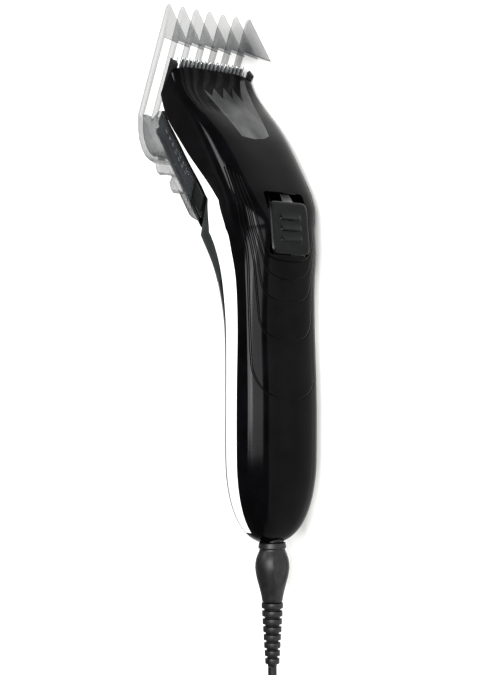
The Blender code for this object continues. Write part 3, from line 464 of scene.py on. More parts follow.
def leaning_box(name, centre, size, up, bevel=0.0, segments=3):
    """A box whose third side leans along up (Y, Z), with its edges rounded in edit mode."""
    select_none()
    bpy.ops.mesh.primitive_cube_add(size=1)
    obj = bpy.context.active_object
    obj.name = obj.data.name = name
    tall = Vector((0.0, *up)).normalized()
    deep = Vector((0.0, tall.z, -tall.y))
    for vert in obj.data.vertices:
        x, y, z = (a * b for a, b in zip(vert.co, size))
        vert.co = place(*(Vector((x, 0, 0)) + deep * y + tall * z + Vector(centre)))
    if bevel:
        bpy.ops.object.mode_set(mode="EDIT")
        bpy.ops.mesh.select_all(action="SELECT")
        bpy.ops.mesh.bevel(offset=bevel * MM, segments=segments, affect="EDGES")
        bpy.ops.object.mode_set(mode="OBJECT")
    bpy.context.view_layer.objects.active = obj
    bpy.ops.object.mode_set(mode="EDIT")
    bpy.ops.mesh.select_all(action="SELECT")
    bpy.ops.mesh.normals_make_consistent(inside=False)
    bpy.ops.object.mode_set(mode="OBJECT")
    return obj


def switch_point(up, inward):
    return (SWITCH_MIDDLE[0] + SWITCH_UP[0] * up + SWITCH_UP[1] * inward,
        SWITCH_MIDDLE[1] + SWITCH_UP[1] * up - SWITCH_UP[0] * inward)


def boolean(obj, tool, operation="DIFFERENCE"):
    apply_modifier(obj, "BOOLEAN", object=tool, operation=operation, solver="EXACT")
    bpy.data.objects.remove(tool, do_unlink=True)


slot_cutter = leaning_box("slot_cutter", (0, *switch_point(0, 0)),
    (2 * SWITCH_HALF_WIDTH + 0.6, 12, SWITCH_LENGTH + SWITCH_TRAVEL + 0.6), SWITCH_UP, bevel=1.4)
boolean(front_shell, slot_cutter)

# %% Groove distances
def signed_distances(obj, line):
    """For each point of the piece, its distance to a groove, negative on the groove's inner side."""
    points = np.array([(FLOOR_X * MM - v.co.z, v.co.x + MIDDLE_Z * MM) for v in obj.data.vertices]) / MM
    line = smooth_route([(x, 0, z) for x, z in line], 0.4)
    path = np.array([(p.x, p.z) for p in line])
    across = np.abs(points[:, 0])
    spread = np.interp(points[:, 1], path[::-1, 1], -path[::-1, 0], left=0.0)
    found = np.full(len(points), 50.0)
    start, step = path[:-1] * (-1, 1), np.diff(path * (-1, 1), axis=0)
    for a, d in zip(start, step):
        t = np.clip(((across - a[0]) * d[0] + (points[:, 1] - a[1]) * d[1]) / (d @ d), 0, 1)
        found = np.minimum(found, np.hypot(across - a[0] - t * d[0], points[:, 1] - a[1] - t * d[1]))
    inner = (across < spread) & (points[:, 1] > path[-1, 1])
    found[points[:, 1] > path[0, 1]] += 3 * (points[points[:, 1] > path[0, 1], 1] - path[0, 1])
    return np.where(inner, -found, found)


for number, line in enumerate(GROOVES, 1):
    attribute = front_shell.data.attributes.new(f"groove_{number}", "FLOAT", "POINT")
    attribute.data.foreach_set("value", signed_distances(front_shell, line).astype(np.float32))
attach(front_shell, "casing")
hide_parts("front_shell")
print("grooves stored on", len(front_shell.data.vertices), "points")

# %% [markdown]
# ## Back shell and white strips
# The back shell closes the casing behind. It is gloss black down the handle, and its flanks beside the neck
# are a matt dark grey. The white strips lie flush between the two shells. Both are patches of the same skin.

# %% Back shell
def back_row(row):
    station = station_at(row)
    first = seam_angles(station, row)[1][1]
    columns = 44
    return [section_point(station, first + (2 * math.pi - 2 * first) * c / columns) for c in range(columns + 1)]


NECK_ROWS = (10.3, 13.0)
back_shell = skin_patch("casing_back", rows_between(0, 19, 1.3), back_row)
finish_wall(back_shell, WALL, 0.22, outward=(0, 1, 0))
for height, out_y in ((27.0, HANDLE_BACK), (104.0, 16.2)):
    select_none()
    bpy.ops.mesh.primitive_cylinder_add(vertices=32, radius=2.6 * MM, depth=9.0 * MM,
        location=place(0, out_y, height), rotation=(math.pi / 2, 0, 0))
    hole = bpy.context.active_object
    boolean(back_shell, hole)
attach(back_shell, "casing")
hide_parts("back_shell")


# %% White strips
def strip_row(side):
    def points(row):
        station = station_at(row)
        front, back = seam_angles(station, row, gap=0.24)[0]
        angles = [front + (back - front) * c / 10 for c in range(11)]
        return [section_point(station, side * a) for a in (angles if side > 0 else reversed(angles))]

    return points


strips = []
for side, name in ((1, "right"), (-1, "left")):
    strip = skin_patch(f"side_strip_{name}", rows_between(TRIM_FIRST, TRIM_LAST, 1.3), strip_row(side))
    finish_wall(strip, WALL, 0.3, outward=(side, 0, 0))
    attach(strip, "casing")
    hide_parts(f"trim_{name}")
    strips.append(strip)
print("strips:", [len(s.data.polygons) for s in strips])

# %% [markdown]
# ## Slide switch
# The switch is a satin grey cap with three finger ridges. Each ridge rises slowly and drops sharply, so that
# a thumb can push it up. Its top is a grid whose corners are pulled in, whose rim rolls over, and whose
# points are raised where the ridges run. Solidify gives it the cap's thickness.

# %% Slide switch
def ridge_height(up, across):
    height = 0.0
    for middle in (-4.6, -0.2, 4.2):
        ahead = up - middle + 0.9
        if -0.5 < ahead < 3.2:
            rise = (ahead + 0.5) / 0.5 if ahead < 0 else (1 - ahead / 3.2) ** 1.6
            height = max(height, 1.05 * rise)
    fade = min(1.0, max(0.0, (5.6 - abs(across)) / 1.2))
    return height * fade * fade * (3 - 2 * fade)


def switch_row(row):
    points = []
    for k in range(49):
        u, v = k / 24 - 1, row
        pull = max(abs(u), abs(v)) / max(1e-6, (abs(u) ** 9 + abs(v) ** 9) ** (1 / 9))
        across, up = u * pull * SWITCH_HALF_WIDTH, v * pull * SWITCH_LENGTH / 2
        edge = max(0.0, (max(abs(u), abs(v)) - 0.86) / 0.14)
        height = 0.15 * (1 - u * u) - 0.75 * edge**2.2 + ridge_height(up, across) - 0.25
        points.append((across, *switch_point(up - SWITCH_TRAVEL / 2, -0.35 - height)))
    return points


switch_cap = skin_patch("switch_cap", [k / 32 - 1 for k in range(65)], switch_row)
finish_wall(switch_cap, 2.2, 0.12, outward=(0, -1, 0))
select_none()
stem = leaning_box("switch_stem", (0, *switch_point(-SWITCH_TRAVEL / 2, 4.0)), (6, 4.8, 5), SWITCH_UP, bevel=0.3)
make_active(switch_cap)
stem.select_set(True)
bpy.ops.object.join()
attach(switch_cap, "switch")
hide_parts("switch_slider")
print("switch cap:", len(switch_cap.data.polygons), "faces")

# %% [markdown]
# ## Painted reflection on the head
# A grey band of mirrored light lies on the front of the head, with four pointed notches in its upper edge.
# What it is on the real clipper isn't known: it may be only light in the gloss. It is painted here as a thin
# grey film on the black shell: a painted reflection. Its outline is drawn flat, filled, cut finely, and laid
# on the shell by a Shrinkwrap, which is how a film follows a curve.

# %% Painted reflection on the head
REFLECTION_OUTLINE = [(15.4, 198.6), (12.6, 198.0), (7.6, 186.2), (6.4, 193.6), (3.0, 187.0), (1.4, 192.8), (-2.8, 186.4),
    (-4.2, 191.8), (-8.0, 187.2), (-10.2, 190.6), (-9.6, 178.0), (-8.0, 166.8), (-2.0, 166.0), (3.5, 166.8),
    (7.2, 168.6), (10.2, 178.5), (14.0, 189.5)]
outline = bpy.data.curves.new("head_painted_reflection", "CURVE")
outline.dimensions = "2D"
outline.fill_mode = "BOTH"
spline = outline.splines.new("POLY")
spline.points.add(len(REFLECTION_OUTLINE) - 1)
spline.use_cyclic_u = True
for point, (x, z) in zip(spline.points, REFLECTION_OUTLINE):
    point.co = (x * MM, z * MM, 0.0, 1.0)
reflection_film = bpy.data.objects.new("head_painted_reflection", outline)
bpy.context.scene.collection.objects.link(reflection_film)
make_active(reflection_film)
bpy.ops.object.convert(target="MESH")
reflection_film = bpy.context.active_object
for vert in reflection_film.data.vertices:
    vert.co = place(vert.co.x / MM, -30.0, vert.co.y / MM)
bpy.ops.object.mode_set(mode="EDIT")
bpy.ops.mesh.select_all(action="SELECT")
bpy.ops.mesh.remove_doubles(threshold=0.00001)
for _ in range(5):
    bpy.ops.mesh.subdivide(number_cuts=1)
bpy.ops.object.mode_set(mode="OBJECT")
apply_modifier(reflection_film, "SHRINKWRAP", target=front_shell, wrap_method="PROJECT", use_project_y=True,
    use_positive_direction=True, use_negative_direction=False, offset=0.00004)
reflection_film.data.update()
if sum(f.normal.y * f.area for f in reflection_film.data.polygons) > 0:
    reflection_film.data.flip_normals()
apply_modifier(reflection_film, "SOLIDIFY", thickness=0.0001, offset=0.0)
smooth(reflection_film)
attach(reflection_film, "casing")
print("head facet:", len(reflection_film.data.polygons), "faces")

# %% [markdown]
# ## Comb and blades
# The comb, the blades and their holder have the right shape in CAD, but their edges are knife-sharp. Real
# moulded and ground edges are rounded, and it is those that catch the light. So each is a copy of its CAD
# node whose points are merged, whose flat faces are made whole again, and whose edges get a small bevel.


# %% Copies with eased edges
def eased_copy(node, name, width, body, angle=28, segments=2):
    source = nodes[node]
    obj = source.copy()
    obj.data = source.data.copy()
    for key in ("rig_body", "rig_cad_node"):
        if key in obj:
            del obj[key]
    obj.parent = None
    obj.name = obj.data.name = name
    bpy.context.scene.collection.objects.link(obj)
    obj.hide_render = obj.hide_viewport = False
    make_active(obj)
    bpy.ops.object.mode_set(mode="EDIT")
    bpy.ops.mesh.select_all(action="SELECT")
    bpy.ops.mesh.remove_doubles(threshold=0.00002)
    bpy.ops.mesh.dissolve_limited(angle_limit=math.radians(1.5))
    bpy.ops.object.mode_set(mode="OBJECT")
    apply_modifier(obj, "BEVEL", width=width * MM, segments=segments, limit_method="ANGLE",
        angle_limit=math.radians(angle), use_clamp_overlap=False, miter_outer="MITER_ARC")
    smooth(obj, 32)
    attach(obj, body)
    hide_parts(node)
    print(name, len(obj.data.polygons), "faces")
    return obj


comb = eased_copy("length_comb", "comb_shell", 0.22, "comb")
guard = eased_copy("guard_blade", "guard_comb", 0.09, "cutting_unit")
cutter = eased_copy("cutter_blade", "moving_blade", 0.07, "cutter")
holder = eased_copy("cutter_frame", "blade_holder", 0.35, "cutting_unit", segments=3)
guide = eased_copy("comb_guide", "comb_rail_block", 0.3, "casing", segments=3)

# %% [markdown]
# ## Connector and strain relief
# The connector is an oval soft-covered plug with a thumb mark on its front. It starts as a circle that is
# extruded ring by ring and scaled to each oval, which is the quickest way to a turned shape whose section
# isn't round. The strain relief is a profile of ribs, spun about the cord.

# %% Connector
CONNECTOR_ROWS = [(-0.3, 5.2, 4.8), (-0.6, 5.6, 5.2), (-2.4, 5.9, 5.4), (-2.7, 5.7, 5.2), (-2.9, 5.4, 4.95),
    (-3.3, 5.4, 4.95), (-4.2, 5.7, 5.3), (-5.6, 6.3, 5.85), (-7.0, 6.8, 6.3), (-8.7, 7.1, 6.6), (-10.5, 7.2, 6.7),
    (-12.7, 6.95, 6.45), (-15.0, 6.5, 6.0), (-17.5, 5.75, 5.35), (-20.0, 5.0, 4.8), (-22.2, 4.45, 4.35),
    (-24.0, 4.15, 4.15), (-24.5, 3.9, 3.9)]
CORD_Y = -1.8
select_none()
bpy.ops.mesh.primitive_circle_add(vertices=72, radius=1.0 * MM, fill_type="NGON", location=(0, 0, 0))
plug = bpy.context.active_object
plug.name = plug.data.name = "appliance_plug"
bpy.ops.object.mode_set(mode="EDIT")
bpy.ops.mesh.select_all(action="SELECT")
previous = (0.0, 1.0, 1.0)
first = True
for height, half_x, half_y in CONNECTOR_ROWS:
    if first:
        bpy.ops.transform.resize(value=(half_x, half_y, 1), center_override=(0, 0, 0))
        bpy.ops.transform.translate(value=(0, 0, height * MM))
        first = False
    else:
        bpy.ops.mesh.extrude_region_move(TRANSFORM_OT_translate={"value": (0, 0, (height - previous[0]) * MM)})
        bpy.ops.transform.resize(value=(half_x / previous[1], half_y / previous[2], 1),
            center_override=(0, 0, height * MM))
    previous = (height, half_x, half_y)
bpy.ops.mesh.select_all(action="SELECT")
bpy.ops.mesh.subdivide(number_cuts=1)
bpy.ops.mesh.normals_make_consistent(inside=False)
bpy.ops.object.mode_set(mode="OBJECT")
for vert in plug.data.vertices:
    x, y, z = vert.co / MM
    if y < 0:
        oval = (x / 3.6) ** 2 + ((z + 10.0) / 7.0) ** 2
        y += 0.75 * max(0.0, 1 - oval) ** 0.45 * min(1.0, max(0.0, (1.02 - oval) / 0.25))
    vert.co = place(x, y + CORD_Y, z)
plug.data.update()
bpy.context.view_layer.update()
select_none()
bpy.ops.mesh.primitive_cylinder_add(vertices=32, radius=3.0 * MM, depth=7.4 * MM, location=place(0, CORD_Y, 3.2),
    rotation=(0, math.pi / 2, 0))
nose = bpy.context.active_object
bpy.ops.object.transform_apply(location=True, rotation=True, scale=True)
for side in (-1, 1):
    select_none()
    bpy.ops.mesh.primitive_cylinder_add(vertices=16, radius=0.85 * MM, depth=8 * MM,
        location=place(side * 1.2, CORD_Y, 5.0), rotation=(0, math.pi / 2, 0))
    boolean(nose, bpy.context.active_object)
boolean(plug, nose, "UNION")
smooth(plug, 40)
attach(plug, "casing")
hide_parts("connector_body")
print("connector:", len(plug.data.polygons), "faces")

# %% Strain relief
RIBS, RIB_PITCH, RELIEF_TOP = 8, 3.2, -24.8
profile = [(0.0, 0.0)]
for i in range(RIBS):
    radius, top = 4.4 - 1.45 * i / (RIBS - 1), -i * RIB_PITCH
    profile += [(radius - 0.3, top), (radius - 0.06, top - 0.1), (radius, top - 0.35), (radius - 0.02, top - 1.9),
        (radius - 0.12, top - 2.15), (radius - 0.4, top - 2.25), (radius - 0.95, top - 2.3),
        (radius - 1.05, top - 2.5), (radius - 1.15, top - RIB_PITCH + 0.15), (radius - 0.95, top - RIB_PITCH)]
profile[-1] = (profile[-1][0], profile[-1][1] + 0.02)
profile.append((0.0, -RIBS * RIB_PITCH + 0.02))
relief_mesh = bpy.data.meshes.new("ribbed_relief")
relief_mesh.from_pydata([(r * MM, 0, z * MM) for r, z in profile], [(k, k + 1) for k in range(len(profile) - 1)], [])
relief = bpy.data.objects.new("ribbed_relief", relief_mesh)
bpy.context.scene.collection.objects.link(relief)
make_active(relief)
bpy.ops.object.mode_set(mode="EDIT")
bpy.ops.mesh.select_all(action="SELECT")
bpy.ops.mesh.spin(steps=48, angle=2 * math.pi, center=(0, 0, 0), axis=(0, 0, 1))
bpy.ops.mesh.select_all(action="SELECT")
bpy.ops.mesh.remove_doubles(threshold=0.000002)
bpy.ops.mesh.normals_make_consistent(inside=False)
bpy.ops.object.mode_set(mode="OBJECT")
for vert in relief.data.vertices:
    x, y, z = vert.co / MM
    vert.co = place(x, y + CORD_Y, z + RELIEF_TOP)
smooth(relief, 40)
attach(relief, "casing")
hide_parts("strain_relief")
print("strain relief:", len(relief.data.polygons), "faces")

# %% [markdown]
# ## Setting scale
# Small white numbers are printed on the guide block, behind the clear side plate. They show what such a scale
# looks like, but their spacing isn't tied to the comb's travel. A number is a text object made into a mesh.

# %% Setting scale
RAIL_START, RAIL, RAIL_OUT = (25.1, 150.8), (0.616, 0.788), (0.788, -0.616)


def rail_point(u, v):
    return (RAIL_START[0] + RAIL[0] * u + RAIL_OUT[0] * v, RAIL_START[1] + RAIL[1] * u + RAIL_OUT[1] * v)


numbers = []
for side in (-1, 1):
    for k, value in enumerate((21, 18, 15, 12, 9, 6, 3)):
        select_none()
        bpy.ops.object.text_add(location=(0, 0, 0))
        number = bpy.context.active_object
        number.data.body = str(value)
        number.data.size = 2.7 * MM
        number.data.align_x, number.data.align_y = "CENTER", "CENTER"
        number.data.extrude = 0.03 * MM
        bpy.ops.object.convert(target="MESH")
        number = bpy.context.active_object
        for vert in number.data.vertices:
            a, b, c = vert.co / MM
            y, z = rail_point(6.5 + k * 4.1 + b, 3.5 + side * a * -1)
            vert.co = place(side * (20.14 + abs(c)), y, z)
        numbers.append(number)
make_active(numbers[0])
for number in numbers:
    number.select_set(True)
bpy.ops.object.join()
scale_print = bpy.context.active_object
scale_print.name = scale_print.data.name = "setting_numbers"
bpy.ops.object.mode_set(mode="EDIT")
bpy.ops.mesh.select_all(action="SELECT")
bpy.ops.mesh.remove_doubles(threshold=0.000001)
bpy.ops.mesh.normals_make_consistent(inside=False)
bpy.ops.object.mode_set(mode="OBJECT")
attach(scale_print, "casing")
print("setting numbers:", len(scale_print.data.polygons), "faces")

# %% [markdown]
# ## Moulded plastics
# Injection-moulded ABS takes its surface from the tool. A polished tool gives piano gloss, with only a faint
# waviness, and an etched tool gives a fine grain that scatters the light. So one function lays a grain of a
# size and depth in millimetres over a material, and varies its roughness between two values.


# %% Moulded grain
def moulded_grain(tree, shader, grain_mm, depth_mm, rough):
    coords = add_node(tree, "TexCoord")
    grain = add_node(tree, "TexNoise", Vector=coords.outputs["Object"], Scale=1000 / grain_mm, Detail=2.0)
    wear = add_node(tree, "TexNoise", Vector=coords.outputs["Object"], Scale=1000 / 14, Detail=3.0)
    spread = add_node(tree, "MapRange", Value=wear.outputs["Fac"], From_Min=0.3, From_Max=0.7, To_Min=rough[0],
        To_Max=rough[1])
    tree.links.new(spread.outputs["Result"], shader.inputs["Roughness"])
    bump = add_node(tree, "Bump", Strength=1.0, Distance=depth_mm * MM, Height=grain.outputs["Fac"])
    tree.links.new(bump.outputs["Normal"], shader.inputs["Normal"])
    return bump


def colour_drift(tree, shader, dark, light, size_mm, stretch=(1, 1, 1)):
    """Lets the colour wander between two tones, in patches of that size."""
    coords = add_node(tree, "TexCoord")
    drawn = add_node(tree, "Mapping", Vector=coords.outputs["Object"], Scale=stretch)
    patches = add_node(tree, "TexNoise", Vector=drawn.outputs[0], Scale=1000 / size_mm, Detail=4.0)
    tones = add_node(tree, "ValToRGB", Fac=patches.outputs["Fac"])
    tones.color_ramp.elements[0].position, tones.color_ramp.elements[1].position = 0.35, 0.65
    tones.color_ramp.elements[0].color, tones.color_ramp.elements[1].color = colour(dark), colour(light)
    tree.links.new(tones.outputs["Color"], shader.inputs["Base Color"])
    return tones


# %% Polished black with its grooves
# Polished ABS: nearly pure black, with tight reflections. Its specular level is set far below the usual 0.5,
# so that the front stays dark over the pale board.
gloss_black, tree, shader = new_material("abs_polished_black", Base_Color=colour("#050506"), IOR=1.5,
    Specular_IOR_Level=0.08)
colour_drift(tree, shader, "#030304", "#08080a", 9)
grain = moulded_grain(tree, shader, 5.0, 0.004, (0.1, 0.16))
depth = None
for number in range(1, len(GROOVES) + 1):
    stored = add_node(tree, "Attribute", {"attribute_name": f"groove_{number}"})
    far = add_node(tree, "Math", {"operation": "ABSOLUTE"}, _0=stored.outputs["Fac"])
    cut_in = add_node(tree, "MapRange", {"interpolation_type": "SMOOTHSTEP"}, Value=far.outputs[0], From_Min=0.1,
        From_Max=0.42, To_Min=1.0, To_Max=0.0)
    depth = cut_in.outputs["Result"] if depth is None else add_node(tree, "Math", {"operation": "MAXIMUM"},
        _0=depth, _1=cut_in.outputs["Result"]).outputs[0]
grooves = add_node(tree, "Bump", {"invert": True}, Strength=1.0, Distance=0.001, Height=depth,
    Normal=grain.outputs["Normal"])
tree.links.new(grooves.outputs["Normal"], shader.inputs["Normal"])

# %% The other shells
back_black, tree, shader = new_material("abs_polished_black_back", Base_Color=colour("#070708"), IOR=1.5,
    Specular_IOR_Level=0.2)
colour_drift(tree, shader, "#050506", "#0b0b0d", 9)
moulded_grain(tree, shader, 5.0, 0.004, (0.12, 0.2))
# Etched ABS: a dull dark green-grey with only broad, faint reflections.
matt_grey, tree, shader = new_material("abs_etched_grey", Base_Color=colour("#212625"), IOR=1.5, Specular_IOR_Level=0.3)
colour_drift(tree, shader, "#1b201f", "#272d2c", 4)
moulded_grain(tree, shader, 0.7, 0.03, (0.48, 0.6))
# Polished white ABS, which drifts very slightly between a cooler and a warmer white.
gloss_white, tree, shader = new_material("abs_polished_white", Base_Color=colour("#efefec"), IOR=1.5)
colour_drift(tree, shader, "#eceae6", "#f3f3f1", 12)
moulded_grain(tree, shader, 5.0, 0.004, (0.14, 0.22))
# Etched black ABS of the blade holder and the comb's guide.
black_matt, tree, shader = new_material("abs_etched_black", Base_Color=colour("#0e0f0f"), IOR=1.5,
    Specular_IOR_Level=0.3)
colour_drift(tree, shader, "#0b0c0c", "#131414", 4)
moulded_grain(tree, shader, 0.6, 0.02, (0.36, 0.5))
# Satin graphite of the switch, a finer etch, so its ridges keep a soft shine.
satin_grey, tree, shader = new_material("abs_satin_graphite", Base_Color=colour("#090a0b"), IOR=1.5,
    Specular_IOR_Level=0.16)
colour_drift(tree, shader, "#070808", "#0d0f10", 5)
moulded_grain(tree, shader, 0.5, 0.008, (0.24, 0.33))
print("plastics:", [m.name for m in (gloss_black, back_black, matt_grey, gloss_white, black_matt, satin_grey)])

# %% [markdown]
# ## Clear comb
# The comb is taken as clear polycarbonate with a smoke tint. Its plates look grey and get darker where one lies
# behind another. With refraction they came out white, or, once tinted, nearly black in the plate nearest the
# floor. So they are partly see-through, through Alpha, and grazing faces are denser, as a thin clear wall is
# when it is seen edge-on. Slow waves in the surface stand for the plastic's flow.

# %% Clear polycarbonate
clear_pc, tree, shader = new_material("polycarbonate_clear", Base_Color=colour("#34373a"), IOR=1.58)
moulded_grain(tree, shader, 9.0, 0.02, (0.05, 0.1))
colour_drift(tree, shader, "#2d3033", "#3c3f42", 11)
rim = add_node(tree, "LayerWeight", Blend=0.35)
see_through = add_node(tree, "MapRange", Value=rim.outputs["Facing"], From_Min=0.3, From_Max=0.9, To_Min=0.3,
    To_Max=0.95)
tree.links.new(see_through.outputs["Result"], shader.inputs["Alpha"])

# %% [markdown]
# ## Metals
# The blades are stamped from hardened steel and ground flat, and the grinding leaves fine parallel lines. Their
# pattern is noise stretched along the stroke, which feeds both bump and roughness. The motor can and screws
# are zinc plated, so they show a faint mottle instead. A metal keeps the default IOR.


# %% Ground and plated metal
def ground_lines(tree, shader, pitch_mm, rough, along=(1, 30, 30)):
    coords = add_node(tree, "TexCoord")
    drawn = add_node(tree, "Mapping", Vector=coords.outputs["Object"], Scale=along)
    lines = add_node(tree, "TexNoise", Vector=drawn.outputs[0], Scale=1000 / (pitch_mm * 30), Detail=3.0)
    spread = add_node(tree, "MapRange", Value=lines.outputs["Fac"], To_Min=rough[0], To_Max=rough[1])
    tree.links.new(spread.outputs["Result"], shader.inputs["Roughness"])
    bump = add_node(tree, "Bump", Strength=0.6, Distance=0.01 * MM, Height=lines.outputs["Fac"])
    tree.links.new(bump.outputs["Normal"], shader.inputs["Normal"])


steel, tree, shader = new_material("steel_ground", Base_Color=colour("#c4c5c6"), Metallic=1.0)
colour_drift(tree, shader, "#b4b5b6", "#cdcecf", 3)
ground_lines(tree, shader, 0.5, (0.16, 0.3), along=(30, 30, 1))
# Painted shade: the moving blade's steel is made much darker than the guard's, so that the gaps between the guard's
# teeth look shaded.
shaded_steel, tree, shader = new_material("steel_painted_shade", Base_Color=colour("#4a4b4d"), Metallic=1.0)
colour_drift(tree, shader, "#3c3d3f", "#585a5c", 3)
ground_lines(tree, shader, 0.5, (0.28, 0.42), along=(30, 30, 1))
spring_steel, tree, shader = new_material("spring_steel_drawn", Base_Color=colour("#8d8e90"), Metallic=1.0)
colour_drift(tree, shader, "#7c7d80", "#9b9c9e", 2)
ground_lines(tree, shader, 0.4, (0.22, 0.36))
zinc, tree, shader = new_material("steel_zinc_plated", Base_Color=colour("#a9acae"), Metallic=1.0)
colour_drift(tree, shader, "#9da0a3", "#b4b7b9", 2.5)
moulded_grain(tree, shader, 0.8, 0.006, (0.24, 0.4))
nickel, tree, shader = new_material("brass_nickel_plated", Base_Color=colour("#c9c5bb"), Metallic=1.0)
colour_drift(tree, shader, "#c0bbb0", "#d0ccc3", 2.5)
ground_lines(tree, shader, 0.5, (0.12, 0.24))
# Painted reflection on the front of the head: a grey metallic film in place of the light the gloss mirrors
# there. Fine brushing runs along it, over slow lighter and darker patches.
painted_reflection, tree, shader = new_material("painted_reflection_grey", Base_Color=colour("#444546"), Metallic=0.8)
colour_drift(tree, shader, "#2c2d2e", "#565758", 14, stretch=(0.5, 1, 1.6))
ground_lines(tree, shader, 0.5, (0.26, 0.36), along=(1, 30, 30))
print("metals:", [m.name for m in (steel, shaded_steel, spring_steel, zinc, nickel, painted_reflection)])

# %% [markdown]
# ## Cord, leads and small parts
# The cord, its connector and its strain relief are soft PVC, which is dull and a little uneven. The parts
# inside keep their CAD shapes, which show only in other poses or in cuts, but each still has the finish of
# what it is: acetal for the drive, phenolic paper for the board, and so on.

# %% Soft and small materials
cord_pvc, tree, shader = new_material("pvc_soft_black", Base_Color=colour("#131314"), IOR=1.5, Specular_IOR_Level=0.35)
colour_drift(tree, shader, "#0e0e0f", "#1b1b1d", 3)
moulded_grain(tree, shader, 0.8, 0.015, (0.34, 0.5))
adapter_abs, tree, shader = new_material("abs_sparked_black", Base_Color=colour("#141415"), IOR=1.5,
    Specular_IOR_Level=0.35)
colour_drift(tree, shader, "#101011", "#1a1a1c", 6)
moulded_grain(tree, shader, 0.9, 0.035, (0.42, 0.56))
acetal, tree, shader = new_material("acetal_natural", Base_Color=colour("#e4e1d8"), IOR=1.48)
colour_drift(tree, shader, "#dedad0", "#e9e7e0", 4)
moulded_grain(tree, shader, 0.8, 0.008, (0.3, 0.42))
phenolic, tree, shader = new_material("phenolic_paper", Base_Color=colour("#8a6a3c"), IOR=1.55)
colour_drift(tree, shader, "#775a31", "#9a7947", 1.2)
moulded_grain(tree, shader, 0.6, 0.01, (0.4, 0.55))
sleeve_blue, tree, shader = new_material("pet_sleeve_blue", Base_Color=colour("#1f3658"), IOR=1.57)
colour_drift(tree, shader, "#1a2e4c", "#264066", 3)
moulded_grain(tree, shader, 1.2, 0.01, (0.22, 0.34))
epoxy, tree, shader = new_material("epoxy_moulded_black", Base_Color=colour("#18181a"), IOR=1.55)
colour_drift(tree, shader, "#131315", "#1f1f22", 1.5)
moulded_grain(tree, shader, 0.5, 0.015, (0.45, 0.6))
lead_red, tree, shader = new_material("pvc_insulation_red", Base_Color=colour("#a3201c"), IOR=1.53)
colour_drift(tree, shader, "#931b18", "#b02824", 3)
moulded_grain(tree, shader, 1.0, 0.01, (0.3, 0.42))
lead_black, tree, shader = new_material("pvc_insulation_black", Base_Color=colour("#151516"), IOR=1.53)
colour_drift(tree, shader, "#101011", "#1c1c1e", 3)
moulded_grain(tree, shader, 1.0, 0.01, (0.3, 0.42))
# White printing ink, with a slightly uneven tone and a dull surface.
ink, tree, shader = new_material("ink_printed_white", Base_Color=colour("#c6cac9"), IOR=1.5)
colour_drift(tree, shader, "#b3b8b7", "#d0d3d2", 0.8)
moulded_grain(tree, shader, 0.5, 0.01, (0.5, 0.65))

# %% Dress the pieces
dress(front_shell, gloss_black)
dress(back_shell, back_black, matt_grey)
for strip in strips:
    dress(strip, gloss_white)
dress(comb, clear_pc)
dress(guard, steel)
# The moving blade takes the darker steel, as painted shade behind the guard's teeth.
dress(cutter, shaded_steel)
dress(holder, black_matt)
dress(guide, black_matt)
dress(switch_cap, satin_grey)
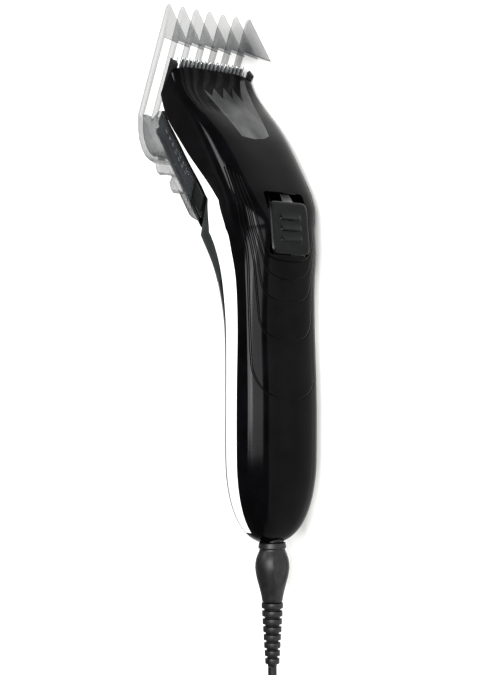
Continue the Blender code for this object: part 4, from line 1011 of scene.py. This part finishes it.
# The grey film on the head's front is a painted reflection.
dress(reflection_film, painted_reflection)
dress(scale_print, ink)
for piece in (cord, plug, relief):
    dress(piece, cord_pvc)
FLANK_OUT = 9  # the matt flanks lie further than this from the middle, in millimetres
neck_low, neck_high = (place(0, 0, station_at(row)[3]).x for row in NECK_ROWS)
for face in back_shell.data.polygons:
    middle = face.center
    if neck_low < middle.x < neck_high and abs(middle.z - FLOOR_X * MM) > FLANK_OUT * MM:
        face.material_index = 1
kept = {
    zinc: ("motor_can", "motor_bracket", "housing_screw_1", "housing_screw_2"),
    spring_steel: ("comb_detent_spring", "cutter_spring", "motor_shaft"),
    nickel: ("inlet_pin_1", "inlet_pin_2", "adapter_pin_1", "adapter_pin_2"),
    acetal: ("cutter_bridge", "drive_cam", "motor_end_cap"),
    black_matt: ("inlet_socket",),
    phenolic: ("circuit_board",),
    sleeve_blue: ("capacitor",),
    epoxy: ("rectifier_1", "rectifier_2", "switch_contacts"),
    lead_red: ("motor_lead_red",),
    lead_black: ("motor_lead_black",),
    adapter_abs: ("adapter_base", "adapter_cover"),
    cord_pvc: ("adapter_strain_relief", "cord_tie"),
}
for material, names in kept.items():
    for name in names:
        for slot in nodes[name].material_slots:
            slot.link = "OBJECT"
            slot.material = material
print("CAD nodes with a new finish:", sum(len(names) for names in kept.values()))

# %% [markdown]
# ## Floor and light
# The clipper lies on a pale board. A gloss black surface shows little but what it mirrors, so the places of
# the softboxes decide the look. One stands above and in front, where the crease along the handle mirrors it
# as a grey band. A dimmer one below it lets that band fade out towards the front. The third is beyond the
# head, for the crease there, and the world adds a dim, even fill. Two more things keep the front dark: the
# black plastic's low specular level, and a display look with more contrast.

# %% Floor, light and backdrop
select_none()
bpy.ops.mesh.primitive_plane_add(size=6, location=(0, 0, 0))
floor = bpy.context.active_object
floor.name = "studio_floor"
pale, tree, shader = new_material("painted_board_pale", Base_Color=colour("#f4f4f2"), Roughness=0.8)
dress(floor, pale)
FILL_STRENGTH = 0.4
world = bpy.data.worlds.new("studio") if not bpy.context.scene.world else bpy.context.scene.world
bpy.context.scene.world = world
world.use_nodes = True
world.node_tree.nodes["Background"].inputs["Color"].default_value = (1.0, 1.0, 1.0, 1.0)
world.node_tree.nodes["Background"].inputs["Strength"].default_value = FILL_STRENGTH


def softbox(name, at, aim_at, size, power):
    data = bpy.data.lights.new(name, "AREA")
    data.shape = "RECTANGLE"
    data.size, data.size_y = size
    data.energy = power
    obj = bpy.data.objects.new(name, data)
    bpy.context.scene.collection.objects.link(obj)
    obj.location = at
    obj.rotation_euler = (Vector(aim_at) - Vector(at)).to_track_quat("-Z", "Y").to_euler()
    return obj


softbox("softbox_handle", (0.07, -0.78, 0.91), (-0.03, -0.03, 0.04), (0.42, 0.62), 14)
softbox("softbox_low", (0.05, -1.06, 0.56), (-0.03, -0.03, 0.04), (0.45, 0.6), 6)
softbox("softbox_head", (0.66, 0.12, 0.98), (0.03, -0.02, 0.04), (0.34, 0.34), 6)
bpy.context.scene.view_settings.view_transform = "Standard"
bpy.context.scene.view_settings.look = "Medium High Contrast"

# %% Finish
bpy.context.view_layer.update()
